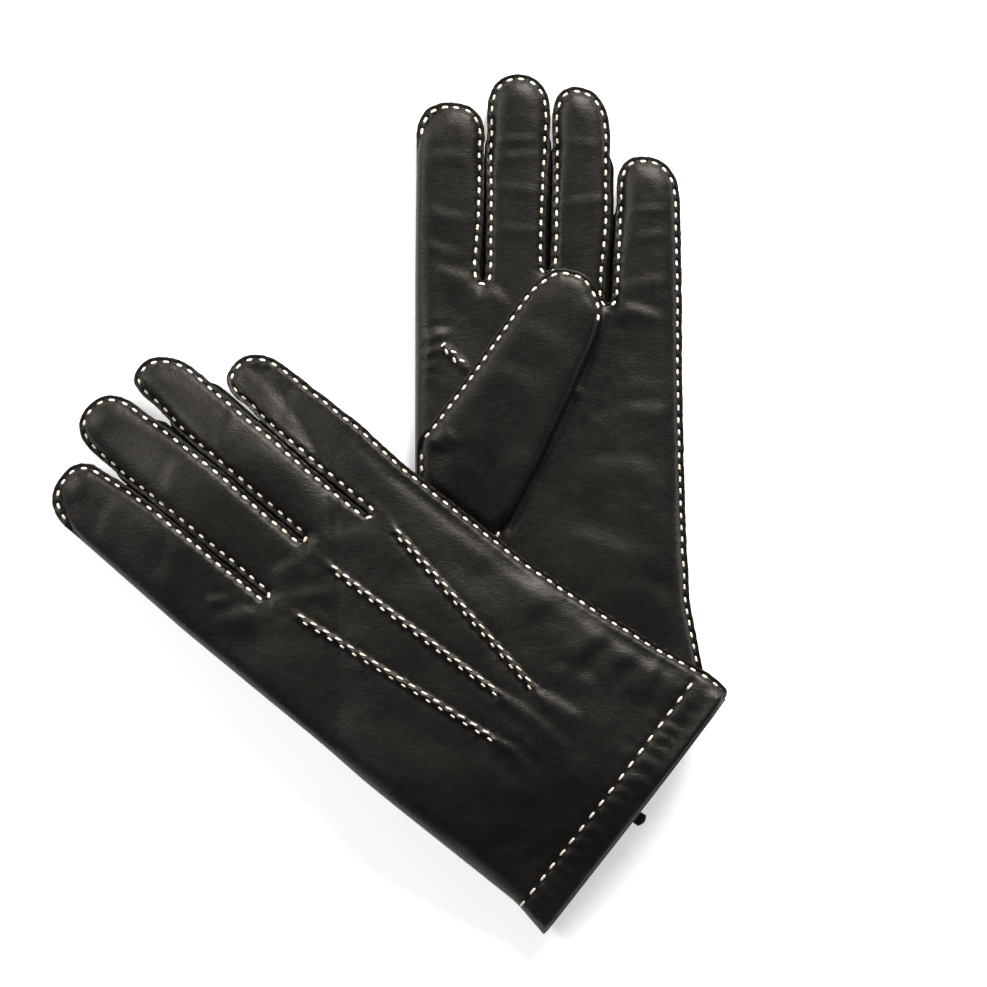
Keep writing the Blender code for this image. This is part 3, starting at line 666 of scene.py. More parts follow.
# %% Shader tools
class Field:
    """One socket of a shader, with arithmetic that adds Math nodes."""

    def __init__(self, finish, socket):
        self.finish, self.socket = finish, socket

    def maths(self, operation, *values):
        return self.finish.node("ShaderNodeMath", {"operation": operation}, *values)

    def __add__(self, other):
        return self.maths("ADD", self, other)

    __radd__ = __add__

    def __mul__(self, other):
        return self.maths("MULTIPLY", self, other)

    __rmul__ = __mul__

    def __sub__(self, other):
        return self.maths("SUBTRACT", self, other)

    def __rsub__(self, other):
        return self.maths("SUBTRACT", other, self)

    def clamped(self):
        return self.maths("MAXIMUM", self.maths("MINIMUM", self, 1.0), 0.0)


class Finish:
    """A material being made: its tree, and one method that makes any node."""

    def __init__(self, name):
        self.made = bpy.data.materials.new(name)
        self.made.use_nodes = True
        self.tree = self.made.node_tree
        self.shader = self.tree.nodes["Principled BSDF"]
        self.place = self.node("ShaderNodeTexCoord", output="Object")

    def feed(self, slot, value):
        if isinstance(value, Field):
            self.tree.links.new(value.socket, slot)
        else:
            slot.default_value = value

    def node(self, kind, settings=None, *values, output=0, **sockets):
        """Makes a node: its settings first, then its sockets, in order or by name."""
        made = self.tree.nodes.new(kind)
        for key, value in (settings or {}).items():
            if key == "stops":
                for element, (at, colour) in zip(made.color_ramp.elements, value):
                    element.position = at
                    element.color = (*colour, 1.0)
            else:
                setattr(made, key, value)
        for slot, value in zip(made.inputs, values):
            self.feed(slot, value)
        for key, value in sockets.items():
            self.feed(made.inputs[key.replace("_", " ")], value)
        return Field(self, made.outputs[output])

    def set(self, **sockets):
        """Sets the shader's own sockets, and gives the material back."""
        for key, value in sockets.items():
            self.feed(self.shader.inputs[key.replace("_", " ")], value)
        return self.made


print("shader tools:", Field.__name__, Finish.__name__)

# %% [markdown]
# ## Black leather
# Black nappa isn't black: under a lamp it is a warm dark grey with a soft, broad gloss. Its grain is
# made of small wrinkles, pebbles and pores, which all go into one bump. A slow noise makes the colour
# and the roughness uneven. The raw edges are drier. The side strips are duller, and their colour is
# painted darker: painted shade for the deep slits between the fingers, where little light reaches.
# A wrapped image of leather would stretch round the fingertips and repeat.

# %% Leathers
def grained_leather(name, dark, light, gloss, shine=0.24):
    finish = Finish(name)
    noise, place = "ShaderNodeTexNoise", finish.place
    slow = finish.node(noise, Vector=place, Scale=38.0, Detail=4.0, Roughness=0.6)
    across = finish.node("ShaderNodeMapping", Vector=place, Rotation=(0.0, 0.0, 0.6), Scale=(1.0, 2.1, 1.0))
    wrinkles = finish.node(noise, Vector=across, Scale=430.0, Detail=4.0, Roughness=0.62, Distortion=0.6)
    pebbles = finish.node("ShaderNodeTexVoronoi", {"feature": "SMOOTH_F1"}, Vector=place, Scale=1250.0,
                          Randomness=1.0)
    fine = finish.node(noise, Vector=place, Scale=2600.0, Detail=3.0)
    pores = finish.node(noise, Vector=place, Scale=420.0, Detail=5.0, Roughness=0.65)
    stops = ((0.36, dark), (0.64, light))
    colour = finish.node("ShaderNodeValToRGB", {"stops": stops}, slow * 0.55 + pores * 0.45)
    grain = wrinkles * 1.5 + pebbles * 0.5 + fine * 0.3 + pores * 0.6
    bump = finish.node("ShaderNodeBump", Height=grain, Strength=0.4, Distance=0.00022)
    rough = (gloss + 0.18 * (slow - 0.5) + 0.12 * (pores - 0.5)).clamped()
    return finish.set(Base_Color=colour, Roughness=rough, Normal=bump, Specular_IOR_Level=shine,
                      Specular_Tint=(1.0, 0.95, 0.88, 1.0))


NAPPA = grained_leather("black_nappa_grained", (0.0024, 0.0021, 0.0018), (0.0074, 0.0065, 0.0055), 0.45)
# The side strips' colour is about half the grain's: painted shade, so the slits between the fingers read
# dark.
SHADED_SIDE_STRIP = grained_leather("black_nappa_side_strip_painted_shade", (0.0012, 0.0011, 0.0010), (0.0030, 0.0027, 0.0024),
                             0.85, 0.06)
RAW_EDGE = grained_leather("black_nappa_raw_edge", (0.0018, 0.0016, 0.0014), (0.0054, 0.0048, 0.0042), 0.6)
print("leathers:", [finish.name for finish in (NAPPA, SHADED_SIDE_STRIP, RAW_EDGE)])

# %% [markdown]
# ## Thread and knit
# The thread is waxed cream cotton: slightly uneven in tone, with plies that show as fine slanting
# ridges. The lining is a grey knit, whose ribs and rows cross. A wave texture gives both, because
# yarn is regular where leather isn't.

# %% Thread and knit
def twisted_thread():
    finish = Finish("cream_waxed_thread")
    tone = finish.node("ShaderNodeTexNoise", Vector=finish.place, Scale=260.0, Detail=3.0)
    plies = finish.node("ShaderNodeTexWave", {"bands_direction": "DIAGONAL"}, Vector=finish.place,
                        Scale=420.0, Distortion=2.0, Detail=1.0)
    stops = ((0.3, (0.66, 0.55, 0.43)), (0.7, (0.86, 0.79, 0.68)))
    colour = finish.node("ShaderNodeValToRGB", {"stops": stops}, tone)
    bump = finish.node("ShaderNodeBump", Height=plies, Strength=0.5, Distance=0.0002)
    return finish.set(Base_Color=colour, Roughness=0.7, Normal=bump, Sheen_Weight=0.1)


def knitted_lining():
    finish = Finish("grey_knitted_lining")
    tone = finish.node("ShaderNodeTexNoise", Vector=finish.place, Scale=150.0, Detail=4.0)
    ribs = finish.node("ShaderNodeTexWave", {"bands_direction": "X"}, Vector=finish.place, Scale=330.0,
                       Distortion=1.2, Detail=2.0)
    rows = finish.node("ShaderNodeTexWave", {"bands_direction": "Y"}, Vector=finish.place, Scale=420.0,
                       Distortion=0.8)
    stops = ((0.25, (0.05, 0.048, 0.046)), (0.8, (0.11, 0.105, 0.10)))
    colour = finish.node("ShaderNodeValToRGB", {"stops": stops}, tone * 0.6 + ribs * 0.4)
    bump = finish.node("ShaderNodeBump", Height=ribs * rows, Strength=0.7, Distance=0.0006)
    return finish.set(Base_Color=colour, Roughness=0.92, Normal=bump, Sheen_Weight=0.25)


THREAD, KNIT = twisted_thread(), knitted_lining()
print("yarns:", [finish.name for finish in (THREAD, KNIT)])

# %% [markdown]
# ## Filling an outline
# The inside of an outline is filled with points: close rings along the cut edge, where the shape turns
# quickly, and a wide honeycomb elsewhere. Delaunay triangulation joins them. An even grid would need
# ten times the points to follow the edge and its stitches as closely.

# %% Points inside an outline
RINGS = (0.5, 1.15, 1.75, 2.35, 3.1, 4.1)
CELL, THUMB_CELL = 1.75, 1.6


def honeycomb(low, high, cell):
    lines = []
    for k, v in enumerate(np.arange(low[1], high[1], cell * 0.866)):
        across = np.arange(low[0] + (k % 2) * cell / 2.0, high[0], cell)
        lines.append(np.c_[across, np.full(len(across), v)])
    return np.vstack(lines)


def inside(polygon, plan):
    """Which plan points a closed outline holds."""
    hit = np.zeros(len(plan), bool)
    x, y = plan[:, 0], plan[:, 1]
    for (x0, y0), (x1, y1) in zip(polygon, np.roll(polygon, -1, axis=0)):
        crossing = (y0 > y) != (y1 > y)
        if crossing.any():
            at = x0 + (y[crossing] - y0) * (x1 - x0) / (y1 - y0)
            rows = np.flatnonzero(crossing)
            hit[rows[x[crossing] < at]] ^= True
    return hit


def rings_in(outline, steps):
    """Rings of points at even depths inside an outline, each with its own step between points."""
    rings = [(outline.edge + outline.inward * depth)[::step] for depth, step in zip(RINGS, steps)]
    return [ring[outline.nearest(ring)[0] > depth - 0.1] for ring, depth in zip(rings, RINGS)]


def comb_in(outline, cell):
    """A honeycomb of points inside an outline's rings."""
    comb = honeycomb(outline.edge.min(axis=0), outline.edge.max(axis=0), cell)
    comb = comb[inside(outline.edge, comb)]
    return comb[outline.nearest(comb)[0] > RINGS[-1] + 0.8]


def loop_of(edge):
    return [(i, (i + 1) % len(edge)) for i in range(len(edge))]


def triangulated(points, links):
    """Plan points and triangles of all that the linked outline holds."""
    made = delaunay_2d_cdt([Vector(p) for p in points], links, [], 1, 1e-5)
    return np.array([tuple(p) for p in made[0]]), np.array([tri for tri in made[2] if len(tri) == 3])


print("rings:", len(RINGS), "comb cell:", CELL, "mm")

# %% [markdown]
# ## Filling a face
# A face needs closer points along its points and its hem, and a line kept as an edge across each
# finger's root. The leather is divided there: the hand is one piece and each finger another, so that
# a finger can bend.

# %% Points and triangles of a face
FACE_RING_STEPS = (1, 1, 1, 1, 2, 2)
POINT_ROWS = (0.0, -0.5, 0.5, -1.0, 1.0, -1.7, 1.7, -2.6, 2.6)
HEM_ROWS = (-1.2, 0.0, 1.2)


def root_line(face, k):
    """Outline steps at the two ends of a finger's root."""
    tongue = TONGUES[face.side][k]
    own = (face.finger == k) & ((face.kind != CUFF_KIND) | (k != 3))
    ends = []
    for u in tongue["root"]:
        gap = np.hypot(face.edge[:, 0] - u, face.edge[:, 1] - tongue["root_v"]) + np.where(own, 0.0, 1e3)
        ends.append(int(gap.argmin()))
    return ends


def point_rows(face, comb):
    """Close rows along the points, and the honeycomb without what lies under them."""
    rows = []
    for top, bottom in POINTS[face.side]:
        along, aside, length = directions(top, bottom)
        line = resampled((top - along * 3.0, bottom + along * 4.0), 0.75)
        rows += [line + aside * x for x in POINT_ROWS]
        s, x = (comb - top) @ along, (comb - top) @ aside
        comb = comb[(np.abs(x) > 3.4) | (s < -3.6) | (s > length + 4.6)]
    return rows, comb


def hem_rows(face, comb):
    """Close rows along the hem's stitches, and the honeycomb without what lies under them."""
    rows = []
    across = np.linspace(face.edge[:, 0].min(), face.edge[:, 0].max(), 130)
    for offset in HEM_ROWS:
        line = np.c_[across, cuff_line(face.side, across) + HEM + offset]
        line = line[inside(face.edge, line)]
        rows.append(line[face.nearest(line)[0] > RINGS[-1] + 0.5])
    from_hem = comb[:, 1] - cuff_line(face.side, comb[:, 0]) - HEM
    return rows, comb[np.abs(from_hem) > 1.9]


def filled(face):
    """Plan points and triangles of a face."""
    edge = face.edge
    scattered = rings_in(face, FACE_RING_STEPS)
    comb = comb_in(face, CELL)
    for rows_of in ((hem_rows,) if face.palm else (point_rows, hem_rows)):
        rows, comb = rows_of(face, comb)
        scattered += rows
    links, roots, count = loop_of(edge), [], len(edge)
    for k in range(4):
        a, b = root_line(face, k)
        line = resampled((edge[a], edge[b]), 1.3)[1:-1]
        chain = [a] + list(range(count, count + len(line))) + [b]
        links += list(zip(chain, chain[1:]))
        roots.append(line)
        count += len(line)
    roots, scattered = np.vstack(roots), np.vstack(scattered + [comb])
    scattered = scattered[closest(scattered, roots) > 0.5]
    return triangulated(np.vstack((edge, roots, scattered)), links)


def column(face, plan):
    """Which finger's column each plan point stands in, 0 to 3."""
    found = np.zeros(len(plan), int)
    for k in range(3):
        u, v = face.slits[k]
        a, b = TONGUES[face.side][k]["right"], TONGUES[face.side][k + 1]["left"]
        top_u, top_v = (a[0] + b[0]) / 2.0, (a[1] + b[1]) / 2.0
        found += plan[:, 0] > u + (top_u - u) * (plan[:, 1] - v) / (top_v - v)
    return found


def piece_of(face, plan):
    """-1 for the hand, 0 to 3 for a finger."""
    which = column(face, plan)
    root_v = np.array([tongue["root_v"] for tongue in TONGUES[face.side]])[which]
    return np.where(plan[:, 1] > root_v, which, -1)


print("hand and fingers:", 1 + len(FINGERS), "pieces a face")

# %% [markdown]
# ## Skins
# Both faces of a glove are laid as one skin, and its normals are worked out before it is divided, so
# that no line shows where the pieces meet. Dividing first would leave a crease at every knuckle.

# %% Meshes and skins
def mesh_object(name, points, faces, finish, normals=None):
    data = bpy.data.meshes.new(name)
    data.from_pydata([tuple(p) for p in points], [], [tuple(int(i) for i in face) for face in faces])
    for made in finish:
        data.materials.append(made)
    data.shade_smooth()
    if normals is not None:
        data.normals_split_custom_set_from_vertices([tuple(n) for n in normals])
    made = bpy.data.objects.new(name, data)
    bpy.context.scene.collection.objects.link(made)
    return made


def turned_out(piece):
    """Turns a piece's faces outwards."""
    work = bmesh.new()
    work.from_mesh(piece.data)
    bmesh.ops.recalc_face_normals(work, faces=work.faces)
    work.to_mesh(piece.data)
    work.free()


def corners(points, triangles):
    return (points[triangles[:, k]] for k in range(3))


def corner_normals(points, triangles):
    """Smooth normals, shared by all points at one place."""
    a, b, c = corners(points, triangles)
    facing = np.cross(b - a, c - a)
    keys, index = np.unique(np.round(points / 2e-6).astype(np.int64), axis=0, return_inverse=True)
    index = index.reshape(-1)
    total = np.zeros((len(keys), 3))
    for k in range(3):
        np.add.at(total, index[triangles[:, k]], facing)
    length = np.linalg.norm(total, axis=1)
    return (total / np.maximum(length, 1e-12)[:, None])[index]


class Skin:
    """Both faces of one glove, laid, with the piece that each triangle goes to."""

    def __init__(self, side):
        places, triangles, owners, count = [], [], [], 0
        for palm in (True, False):
            face = FACES[(side, palm)]
            plan, tris = filled(face)
            w = face.height(plan)
            middle = middle_height(side, plan[:, 1])
            w = np.where(np.abs(w - middle) < 0.02, middle, w)
            a, b, c = corners(plan, tris)
            turning = (b - a)[:, 0] * (c - a)[:, 1] - (b - a)[:, 1] * (c - a)[:, 0]
            wrong = (turning > 0) != palm
            tris[wrong] = tris[wrong][:, ::-1]
            places.append(laid(side, plan, w))
            triangles.append(tris + count)
            owners.append(piece_of(face, (a + b + c) / 3.0))
            count += len(plan)
        self.places, self.owners = np.vstack(places), np.concatenate(owners)
        self.triangles = self.outwards(np.vstack(triangles))
        self.normals = corner_normals(self.places, self.triangles)

    def outwards(self, triangles):
        """Turns the whole skin outwards: its highest triangles have to look up."""
        a, b, c = corners(self.places, triangles)
        highest = ((a + b + c) / 3.0)[:, 2].argsort()[-200:]
        looks_up = np.cross(b - a, c - a)[highest, 2].sum() > 0.0
        return triangles if looks_up else triangles[:, ::-1]


SKINS = {side: Skin(side) for side in ("left", "right")}
print("skins:", {side: (len(s.places), len(s.triangles)) for side, s in SKINS.items()})

# %% [markdown]
# ## Bending
# A finger's leather goes on into the hand's, so it can't turn as a stiff part would. Pieces of the hand
# ride with the hand's body. A piece past a knuckle, or past the fold at the thumb's root, is only fixed
# where it lies: where it would start to bend is worked out, but nothing uses it.

# %% Hanging pieces on the bodies
THUMB_AXIS = {"left": ((17.7, 95.4), (60.5, 172.0)), "right": (RIGHT_THUMB_ROOT, RIGHT_THUMB_TIP)}
KNUCKLE_SPAN, THUMB_SPAN = (0.2, 10.0), (-14.0, 6.0)
KNUCKLE_W, THUMB_W = 6.0, 15.0


def knuckle(side, finger):
    """Where a finger starts to bend, and where it is wholly the finger's."""
    tongue = TONGUES[side][finger]
    u = sum(tongue["root"]) / 2.0
    return laid(side, [(u, tongue["root_v"] + beyond) for beyond in KNUCKLE_SPAN], KNUCKLE_W)


def thumb_fold(side):
    """Where the thumb starts to turn away from the palm, and where it is wholly the thumb's."""
    root, tip = THUMB_AXIS[side]
    along, _, _ = directions(root, tip)
    return laid(side, [root + along * beyond for beyond in THUMB_SPAN], THUMB_W)


def hang(piece, side, part):
    """Fastens a piece to the hand (-1); a finger's piece (0 to 3) or the thumb's is only fixed where it
    lies.
    """
    if part == -1:
        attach(piece, side + "_hand")
        return
    start, end = thumb_fold(side) if part == "thumb" else knuckle(side, part)
    start[2] = end[2] = (start[2] + end[2]) / 2.0
    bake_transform(piece)


def fitted(piece, side, part, node):
    """Hangs a piece, and hides the CAD node that it stands for."""
    hang(piece, side, part)
    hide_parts(node)


print("left index bends from", knuckle("left", 0)[0].round(4))

# %% [markdown]
# ## Leather pieces
# Each skin is divided at the finger roots into the hand, called the trank, and four finger leathers.
# All the pieces share the smooth normals of the whole skin, so that no line shows where they meet.
# Along every sewn edge a narrow strip turns inwards: that is the thickness of the leather, raw and
# a little duller than the grain side.

# %% Hand and finger leathers
TRIM_IN, TRIM_SHARE = 0.12, 0.96


def cut_edges(side, owner):
    """The strips of raw edge that belong to one piece: (points, quads, normals)."""
    points, quads, normals = [], [], []
    for palm in (True, False):
        face = FACES[(side, palm)]
        edge = face.edge
        owners = piece_of(face, (edge + np.roll(edge, -1, axis=0)) / 2.0)
        w = face.height(edge)
        turn = np.clip(middle_height(side, edge[:, 1]) - w, -LEATHER, LEATHER)
        upper = laid(side, edge, w)
        lower = laid(side, edge + face.inward * TRIM_IN, w + turn * TRIM_SHARE)
        out = laid(side, edge - face.inward, w) - upper
        out[:, 2] = 0.0
        for i in np.flatnonzero((owners == owner) & (face.kind != CUFF_KIND) & (face.half > 0.15)):
            j = (i + 1) % len(edge)
            quads.append(tuple(range(len(points), len(points) + 4)))
            points += [upper[i], upper[j], lower[j], lower[i]]
            normals += [out[i], out[j], out[j], out[i]]
    return points, quads, normals


def trimmed(piece, skin_faces):
    """Gives every face after the skin's the raw edge's finish."""
    for polygon in piece.data.polygons[skin_faces:]:
        polygon.material_index = 1


def leather_piece(side, owner):
    skin = SKINS[side]
    used, triangles = np.unique(skin.triangles[skin.owners == owner], return_inverse=True)
    triangles = triangles.reshape(-1, 3)
    strip_points, quads, strip_normals = cut_edges(side, owner)
    points = np.vstack((skin.places[used], strip_points))
    normals = np.vstack((skin.normals[used], strip_normals))
    normals /= np.maximum(np.linalg.norm(normals, axis=1), 1e-9)[:, None]
    faces = [tuple(t) for t in triangles] + [tuple(np.array(q) + len(used)) for q in quads]
    label = "hand" if owner < 0 else FINGERS[owner]
    piece = mesh_object(side + "_" + label + "_leather", points, faces, (NAPPA, RAW_EDGE), normals)
    trimmed(piece, len(triangles))
    fitted(piece, side, owner, side + ("_trank" if owner < 0 else "_" + label + "_stall"))
    print(piece.name, len(piece.data.vertices), "points")


for side in ("left", "right"):
    for owner in range(-1, 4):
        leather_piece(side, owner)

# %% [markdown]
# ## Running stitches
# The seams are sewn by hand with waxed cream thread: in and out along the raised edges, so what shows
# is a row of short dashes with gaps as long. Each dash is a little arched capsule whose ends sink into
# the leather. The dashes follow the outline at an even depth, so they turn in a U at each slit.

# %% Dashes
RING, SIDES = 9, 7  # of one dash: rings along it, points round it
ARCH, SINK = 0.22, 0.3


def grid_quads(rows, columns, start=0):
    """The quads of a grid whose points are numbered row by row."""
    corners_of = [start + i * columns + j for i in range(rows - 1) for j in range(columns - 1)]
    return [(a, a + 1, a + columns + 1, a + columns) for a in corners_of]


def barrel_quads(rings, sides, start=0):
    """The quads of a closed barrel, ring after ring, and its two ends."""
    quads = []
    for i in range(rings - 1):
        for j in range(sides):
            a, b = start + i * sides + j, start + i * sides + (j + 1) % sides
            quads.append((a, b, b + sides, a + sides))
    last = start + (rings - 1) * sides
    return quads + [tuple(range(start, start + sides)), tuple(range(last, last + sides))]


def capsules(centres, along, height, out, length, radius):
    """Dashes on a surface w = height(plan), as plan points and quads. out is +1 or -1 in w."""
    s = np.linspace(-1.0, 1.0, RING)
    along = along / np.linalg.norm(along, axis=1)[:, None]
    line = centres[:, None, :] + along[:, None, :] * (s * length / 2.0)[None, :, None]
    level = height(line.reshape(-1, 2)).reshape(len(centres), RING)
    level = lerp(level, level.mean(axis=1)[:, None], 0.5)
    level = level + out * (ARCH + radius * 0.45 - (ARCH + SINK) * s[None, :] ** 4)
    thick = radius * np.sqrt(np.maximum(1.0 - np.abs(s) ** 3.2, 0.02))
    aside = np.c_[-along[:, 1], along[:, 0]]
    points = np.empty((len(centres), RING, SIDES, 3))
    for j, angle in enumerate(np.linspace(0.0, 2.0 * math.pi, SIDES, endpoint=False)):
        points[:, :, j, :2] = line + aside[:, None, :] * (thick * math.cos(angle))[None, :, None]
        points[:, :, j, 2] = level + thick[None, :] * 0.9 * math.sin(angle)
    quads = []
    for k in range(len(centres)):
        quads += barrel_quads(RING, SIDES, k * RING * SIDES)
    return points.reshape(-1, 3), quads


def stitch_piece(name, side, part, groups, node):
    """One thread piece from several groups of dashes. Gives back how many dashes it has."""
    points, quads, count = [], [], 0
    for plan, group_quads in groups:
        points.append(laid(side, plan[:, :2], plan[:, 2]))
        quads += [tuple(i + count for i in quad) for quad in group_quads]
        count += len(plan)
    piece = mesh_object(name, np.vstack(points), quads, (THREAD,))
    turned_out(piece)
    fitted(piece, side, part, node)
    return count // (RING * SIDES)


print("points in a dash:", RING * SIDES)

# %% [markdown]
# ## Seams and the thumb hole's end
# Each finger has its own thread, and the little-finger edge another, as a glover sews them. Five more
# dashes close the top of the left glove's thumb hole over a short ridge.

# %% Seam stitches
SEAM_DASH, TACK_DASH = (2.5, 0.58), (2.3, 0.48)  # length and radius


def seam_stitches(side):
    groups = {finger: [] for finger in range(-1, 4)}
    for palm in (True, False):
        face = FACES[(side, palm)]
        owners = piece_of(face, face.dashes)
        for finger, group in groups.items():
            own = owners == finger
            if own.any():
                dashes = face.dashes[own], face.dash_along[own]
                group.append(capsules(*dashes, face.height, 1.0 if palm else -1.0, *SEAM_DASH))
    return groups


def tack_stitches():
    """The few dashes over the ridge that closes the top of the left glove's thumb hole."""
    along, aside, _ = directions(*TACK)
    centres, lean = [TACK[0] - along * 0.3], [aside]
    for s, flank in ((2.4, -0.95), (4.2, 0.95), (6.6, -0.95), (8.6, 0.95)):
        centres.append(TACK[0] + along * s + aside * flank)
        lean.append(along + aside * flank * 0.5)
    return capsules(np.array(centres), np.array(lean), FACES[("left", True)].height, 1.0, *TACK_DASH)


for side in ("left", "right"):
    groups = seam_stitches(side)
    if side == "left":
        groups[-1].append(tack_stitches())
    made = [stitch_piece(side + "_side_seam_stitches", side, -1, groups[-1], side + "_side_seam_thread")]
    for k, finger in enumerate(FINGERS):
        name = side + "_" + finger
        made.append(stitch_piece(name + "_stitches", side, k, groups[k], name + "_seam_thread"))
    print(side, "seam dashes:", made)

# %% [markdown]
# ## Points and hem
# The three points on the back are tucks pinched up and whipped with thread, so stitches show by turns
# on either side and pull the ridge into a braid. The hem is a single straight row of longer stitches
# through the leather and its turned-in edge.

# %% Point stitches and hem stitches
POINT_DASHES = ((1.0, 0.25, 2.9, 0.44), (-1.0, 0.75, 2.3, 0.38))  # flank, start, length, radius
POINT_FLANK, POINT_LEAN = 0.8, 0.1
HEM_DASH = (3.1, 0.5)
HEM_FROM_FOLD, HEM_FROM_SEAM = 5.0, 2.5


def point_stitches(side, k):
    top, bottom = POINTS[side][k]
    along, aside, length = directions(top, bottom)
    count = int(length / POINT_PITCH)
    rows = []
    for flank, start, *dash in POINT_DASHES:
        s = (np.arange(count) + start) * length / count
        centres = top + s[:, None] * along + flank * POINT_FLANK * aside
        lean = np.tile(along + flank * POINT_LEAN * aside, (count, 1))
        rows.append(capsules(centres, lean, FACES[(side, False)].height, -1.0, *dash))
    return rows


def hem_stitches(side, palm):
    fold_u, seam_u = FOLD[side][0][0], SEAM[side][-1][0]
    across = np.arange(fold_u + HEM_FROM_FOLD, seam_u - HEM_FROM_SEAM, HEM_PITCH)
    across = across + 0.5 * (rng.random(len(across)) - 0.5)
    centres = np.c_[across, cuff_line(side, across) + HEM]
    slope = (CUFF[side][1] - CUFF[side][0]) / (seam_u - fold_u)
    along = np.c_[np.ones(len(across)), slope + 0.10 * (rng.random(len(across)) - 0.5)]
    return capsules(centres, along, FACES[(side, palm)].height, 1.0 if palm else -1.0, *HEM_DASH)


for side in ("left", "right"):
    made = []
    for k in range(3):
        name = side + "_point_" + str(k + 1)
        made.append(stitch_piece(name + "_stitches", side, -1, point_stitches(side, k), name + "_thread"))
    hems = [hem_stitches(side, palm) for palm in (True, False)]
    made.append(stitch_piece(side + "_hem_stitches", side, -1, hems, side + "_hem_thread"))
    print(side, "point and hem dashes:", made)

# %% [markdown]
# ## Fourchettes
# Between two fingers the palm and the back aren't sewn to each other but to narrow side strips, the
# fourchettes, which give a finger its thickness. Two strips meet at the bottom of each slit. Each is
# ruled between the palm's stitched line and the back's, and bellies out a little between them.

# %% Side strips
STRIP_ROWS, STRIP_ACROSS = 64, 9
STRIP_IN, STRIP_UNDER = 2.3, 0.8
BELLY = 4.4
GAP_SWAY, GAP_HALF = 0.35, 0.08


def slit_side(face, k, rightward):
    """The stitched line down one side of a finger, from the tip end to the slit's bottom."""
    own = np.flatnonzero((face.kind == SLIT_KIND) & (face.finger == k))
    centre = (TONGUES[face.side][k]["left"][0] + TONGUES[face.side][k]["right"][0]) / 2.0
    picked = own[(face.edge[own, 0] > centre) == rightward]
    if not rightward:
        picked = picked[::-1]
    return face.edge[picked] + face.inward[picked] * STRIP_IN


def valley_middle(side, k, v):
    """u of the middle of a slit at each v, down to the bottom of the back's slit."""
    bottom = BACK_SLITS[side][k]
    a, b = TONGUES[side][k]["right"], TONGUES[side][k + 1]["left"]
    heights = [bottom[1]] + [at for at, _, _ in VALLEYS[side][k]] + [(a[1] + b[1]) / 2.0]
    middles = [bottom[0]] + [middle for _, middle, _ in VALLEYS[side][k]] + [(a[0] + b[0]) / 2.0]
    return np.interp(v, heights, middles)


def fourchette(side, k, rightward):
    palm, back = FACES[(side, True)], FACES[(side, False)]
    upper = evenly(slit_side(palm, k, rightward), STRIP_ROWS)
    lower = evenly(slit_side(back, k, rightward), STRIP_ROWS)
    bottom = back.height(lower) + STRIP_UNDER
    top = np.maximum(palm.height(upper) - STRIP_UNDER, bottom + 0.1)
    share = np.linspace(0.0, 1.0, STRIP_ACROSS)
    plan = upper[:, None] + (lower - upper)[:, None] * share[None, :, None]
    w = top[:, None] + (bottom - top)[:, None] * share[None]
    out = 1.0 if rightward else -1.0
    tapered = smooth(np.linspace(0.0, 1.0, STRIP_ROWS) / 0.22) * smooth((top - bottom) / 3.0)
    belly = BELLY * tapered[:, None] * np.sin(math.pi * share)[None] ** 0.6
    moved = plan[:, :, 0] + belly * out
    limit = valley_middle(side, k if rightward else k - 1, plan[:, :, 1])
    limit = limit + GAP_SWAY * np.sin(2.0 * math.pi * share)[None] - out * GAP_HALF
    plan[:, :, 0] = np.minimum(moved, limit) if rightward else np.maximum(moved, limit)
    points = laid(side, plan.reshape(-1, 2), w.reshape(-1))
    node = side + "_" + FINGERS[k] + "_fourchette_by_" + FINGERS[k + 1 if rightward else k - 1]
    # The strips take the side-strip leather, whose darker colour is painted shade.
    piece = mesh_object(node + "_strip", points, grid_quads(STRIP_ROWS, STRIP_ACROSS), (SHADED_SIDE_STRIP,))
    fitted(piece, side, k, node)


for side in ("left", "right"):
    for k in range(3):
        fourchette(side, k, True)
        fourchette(side, k + 1, False)
print("12 fourchettes made")

# %% [markdown]
# ## Thumbs
# The thumb is its own piece, folded along one side and sewn along the other and round the tip, and
# let into a hole in the palm. Lying down, it is folded over the palm like a flattened bag: thick and
# soft at the ball, thin at its edges, and pressed flat where the other glove lies on it.
#
# Its outline is given once, for the left glove, and moved to the right one's thumb by a turn and a
# scale. Its top is limited by a ceiling where the right glove lies on it.

# %% Thumb shape
THUMB_SEAM = ((1.3, 112.4), (4.2, 114.6), (20.4, 136.2), (42.3, 168.0), (52.8, 175.4), (63.9, 172.6),
              (69.2, 163.6))
THUMB_FOLD = ((69.2, 163.6), (69.9, 155.2), (65.2, 143.0), (59.5, 130.3), (46.6, 102.8), (33.8, 78.9))
THUMB_BASE = ((33.8, 78.9), (30.0, 70.0), (24.0, 64.5), (16.0, 61.5), (8.0, 62.5), (3.4, 67.0),
              (1.6, 76.0), (1.2, 92.0), (1.5, 111.9))
THUMB_RUNS = ((THUMB_SEAM, CAP_KIND, 3.5), (THUMB_FOLD, FOLD_KIND, 3.5), (THUMB_BASE, BASE_KIND, 4.0))
THUMB_CREASES = (
    ((6.4, 119.0), (18.0, 111.0), 0.6, 1.6, -0.8), ((8.0, 104.0), (30.0, 92.0), 0.5, 3.5, 3.0),
    ((26.0, 136.0), (46.0, 128.0), 0.3, 3.6, 2.0), ((36.0, 152.0), (60.0, 142.0), 0.3, 3.2, 2.0),
    ((30.0, 90.0), (42.0, 108.0), 0.4, 3.0, 1.5), ((46.0, 165.0), (64.0, 156.0), 0.22, 2.4, 2.0),
)
THUMB_HALF_THICK = 3.5
THUMB_STEP = 0.7
CEILING, PRESSED_BY = 17.0, 3.3
SEAM_PAST_TIP = 16


def rounded(points, reach):
    """A line through the points, its corners eased over reach millimetres."""
    line = resampled(points, THUMB_STEP)
    count = int(reach / THUMB_STEP)
    padded = np.vstack((np.repeat(line[:1], count, axis=0), line, np.repeat(line[-1:], count, axis=0)))
    return sum(padded[k:k + len(line)] for k in range(2 * count + 1)) / (2 * count + 1)


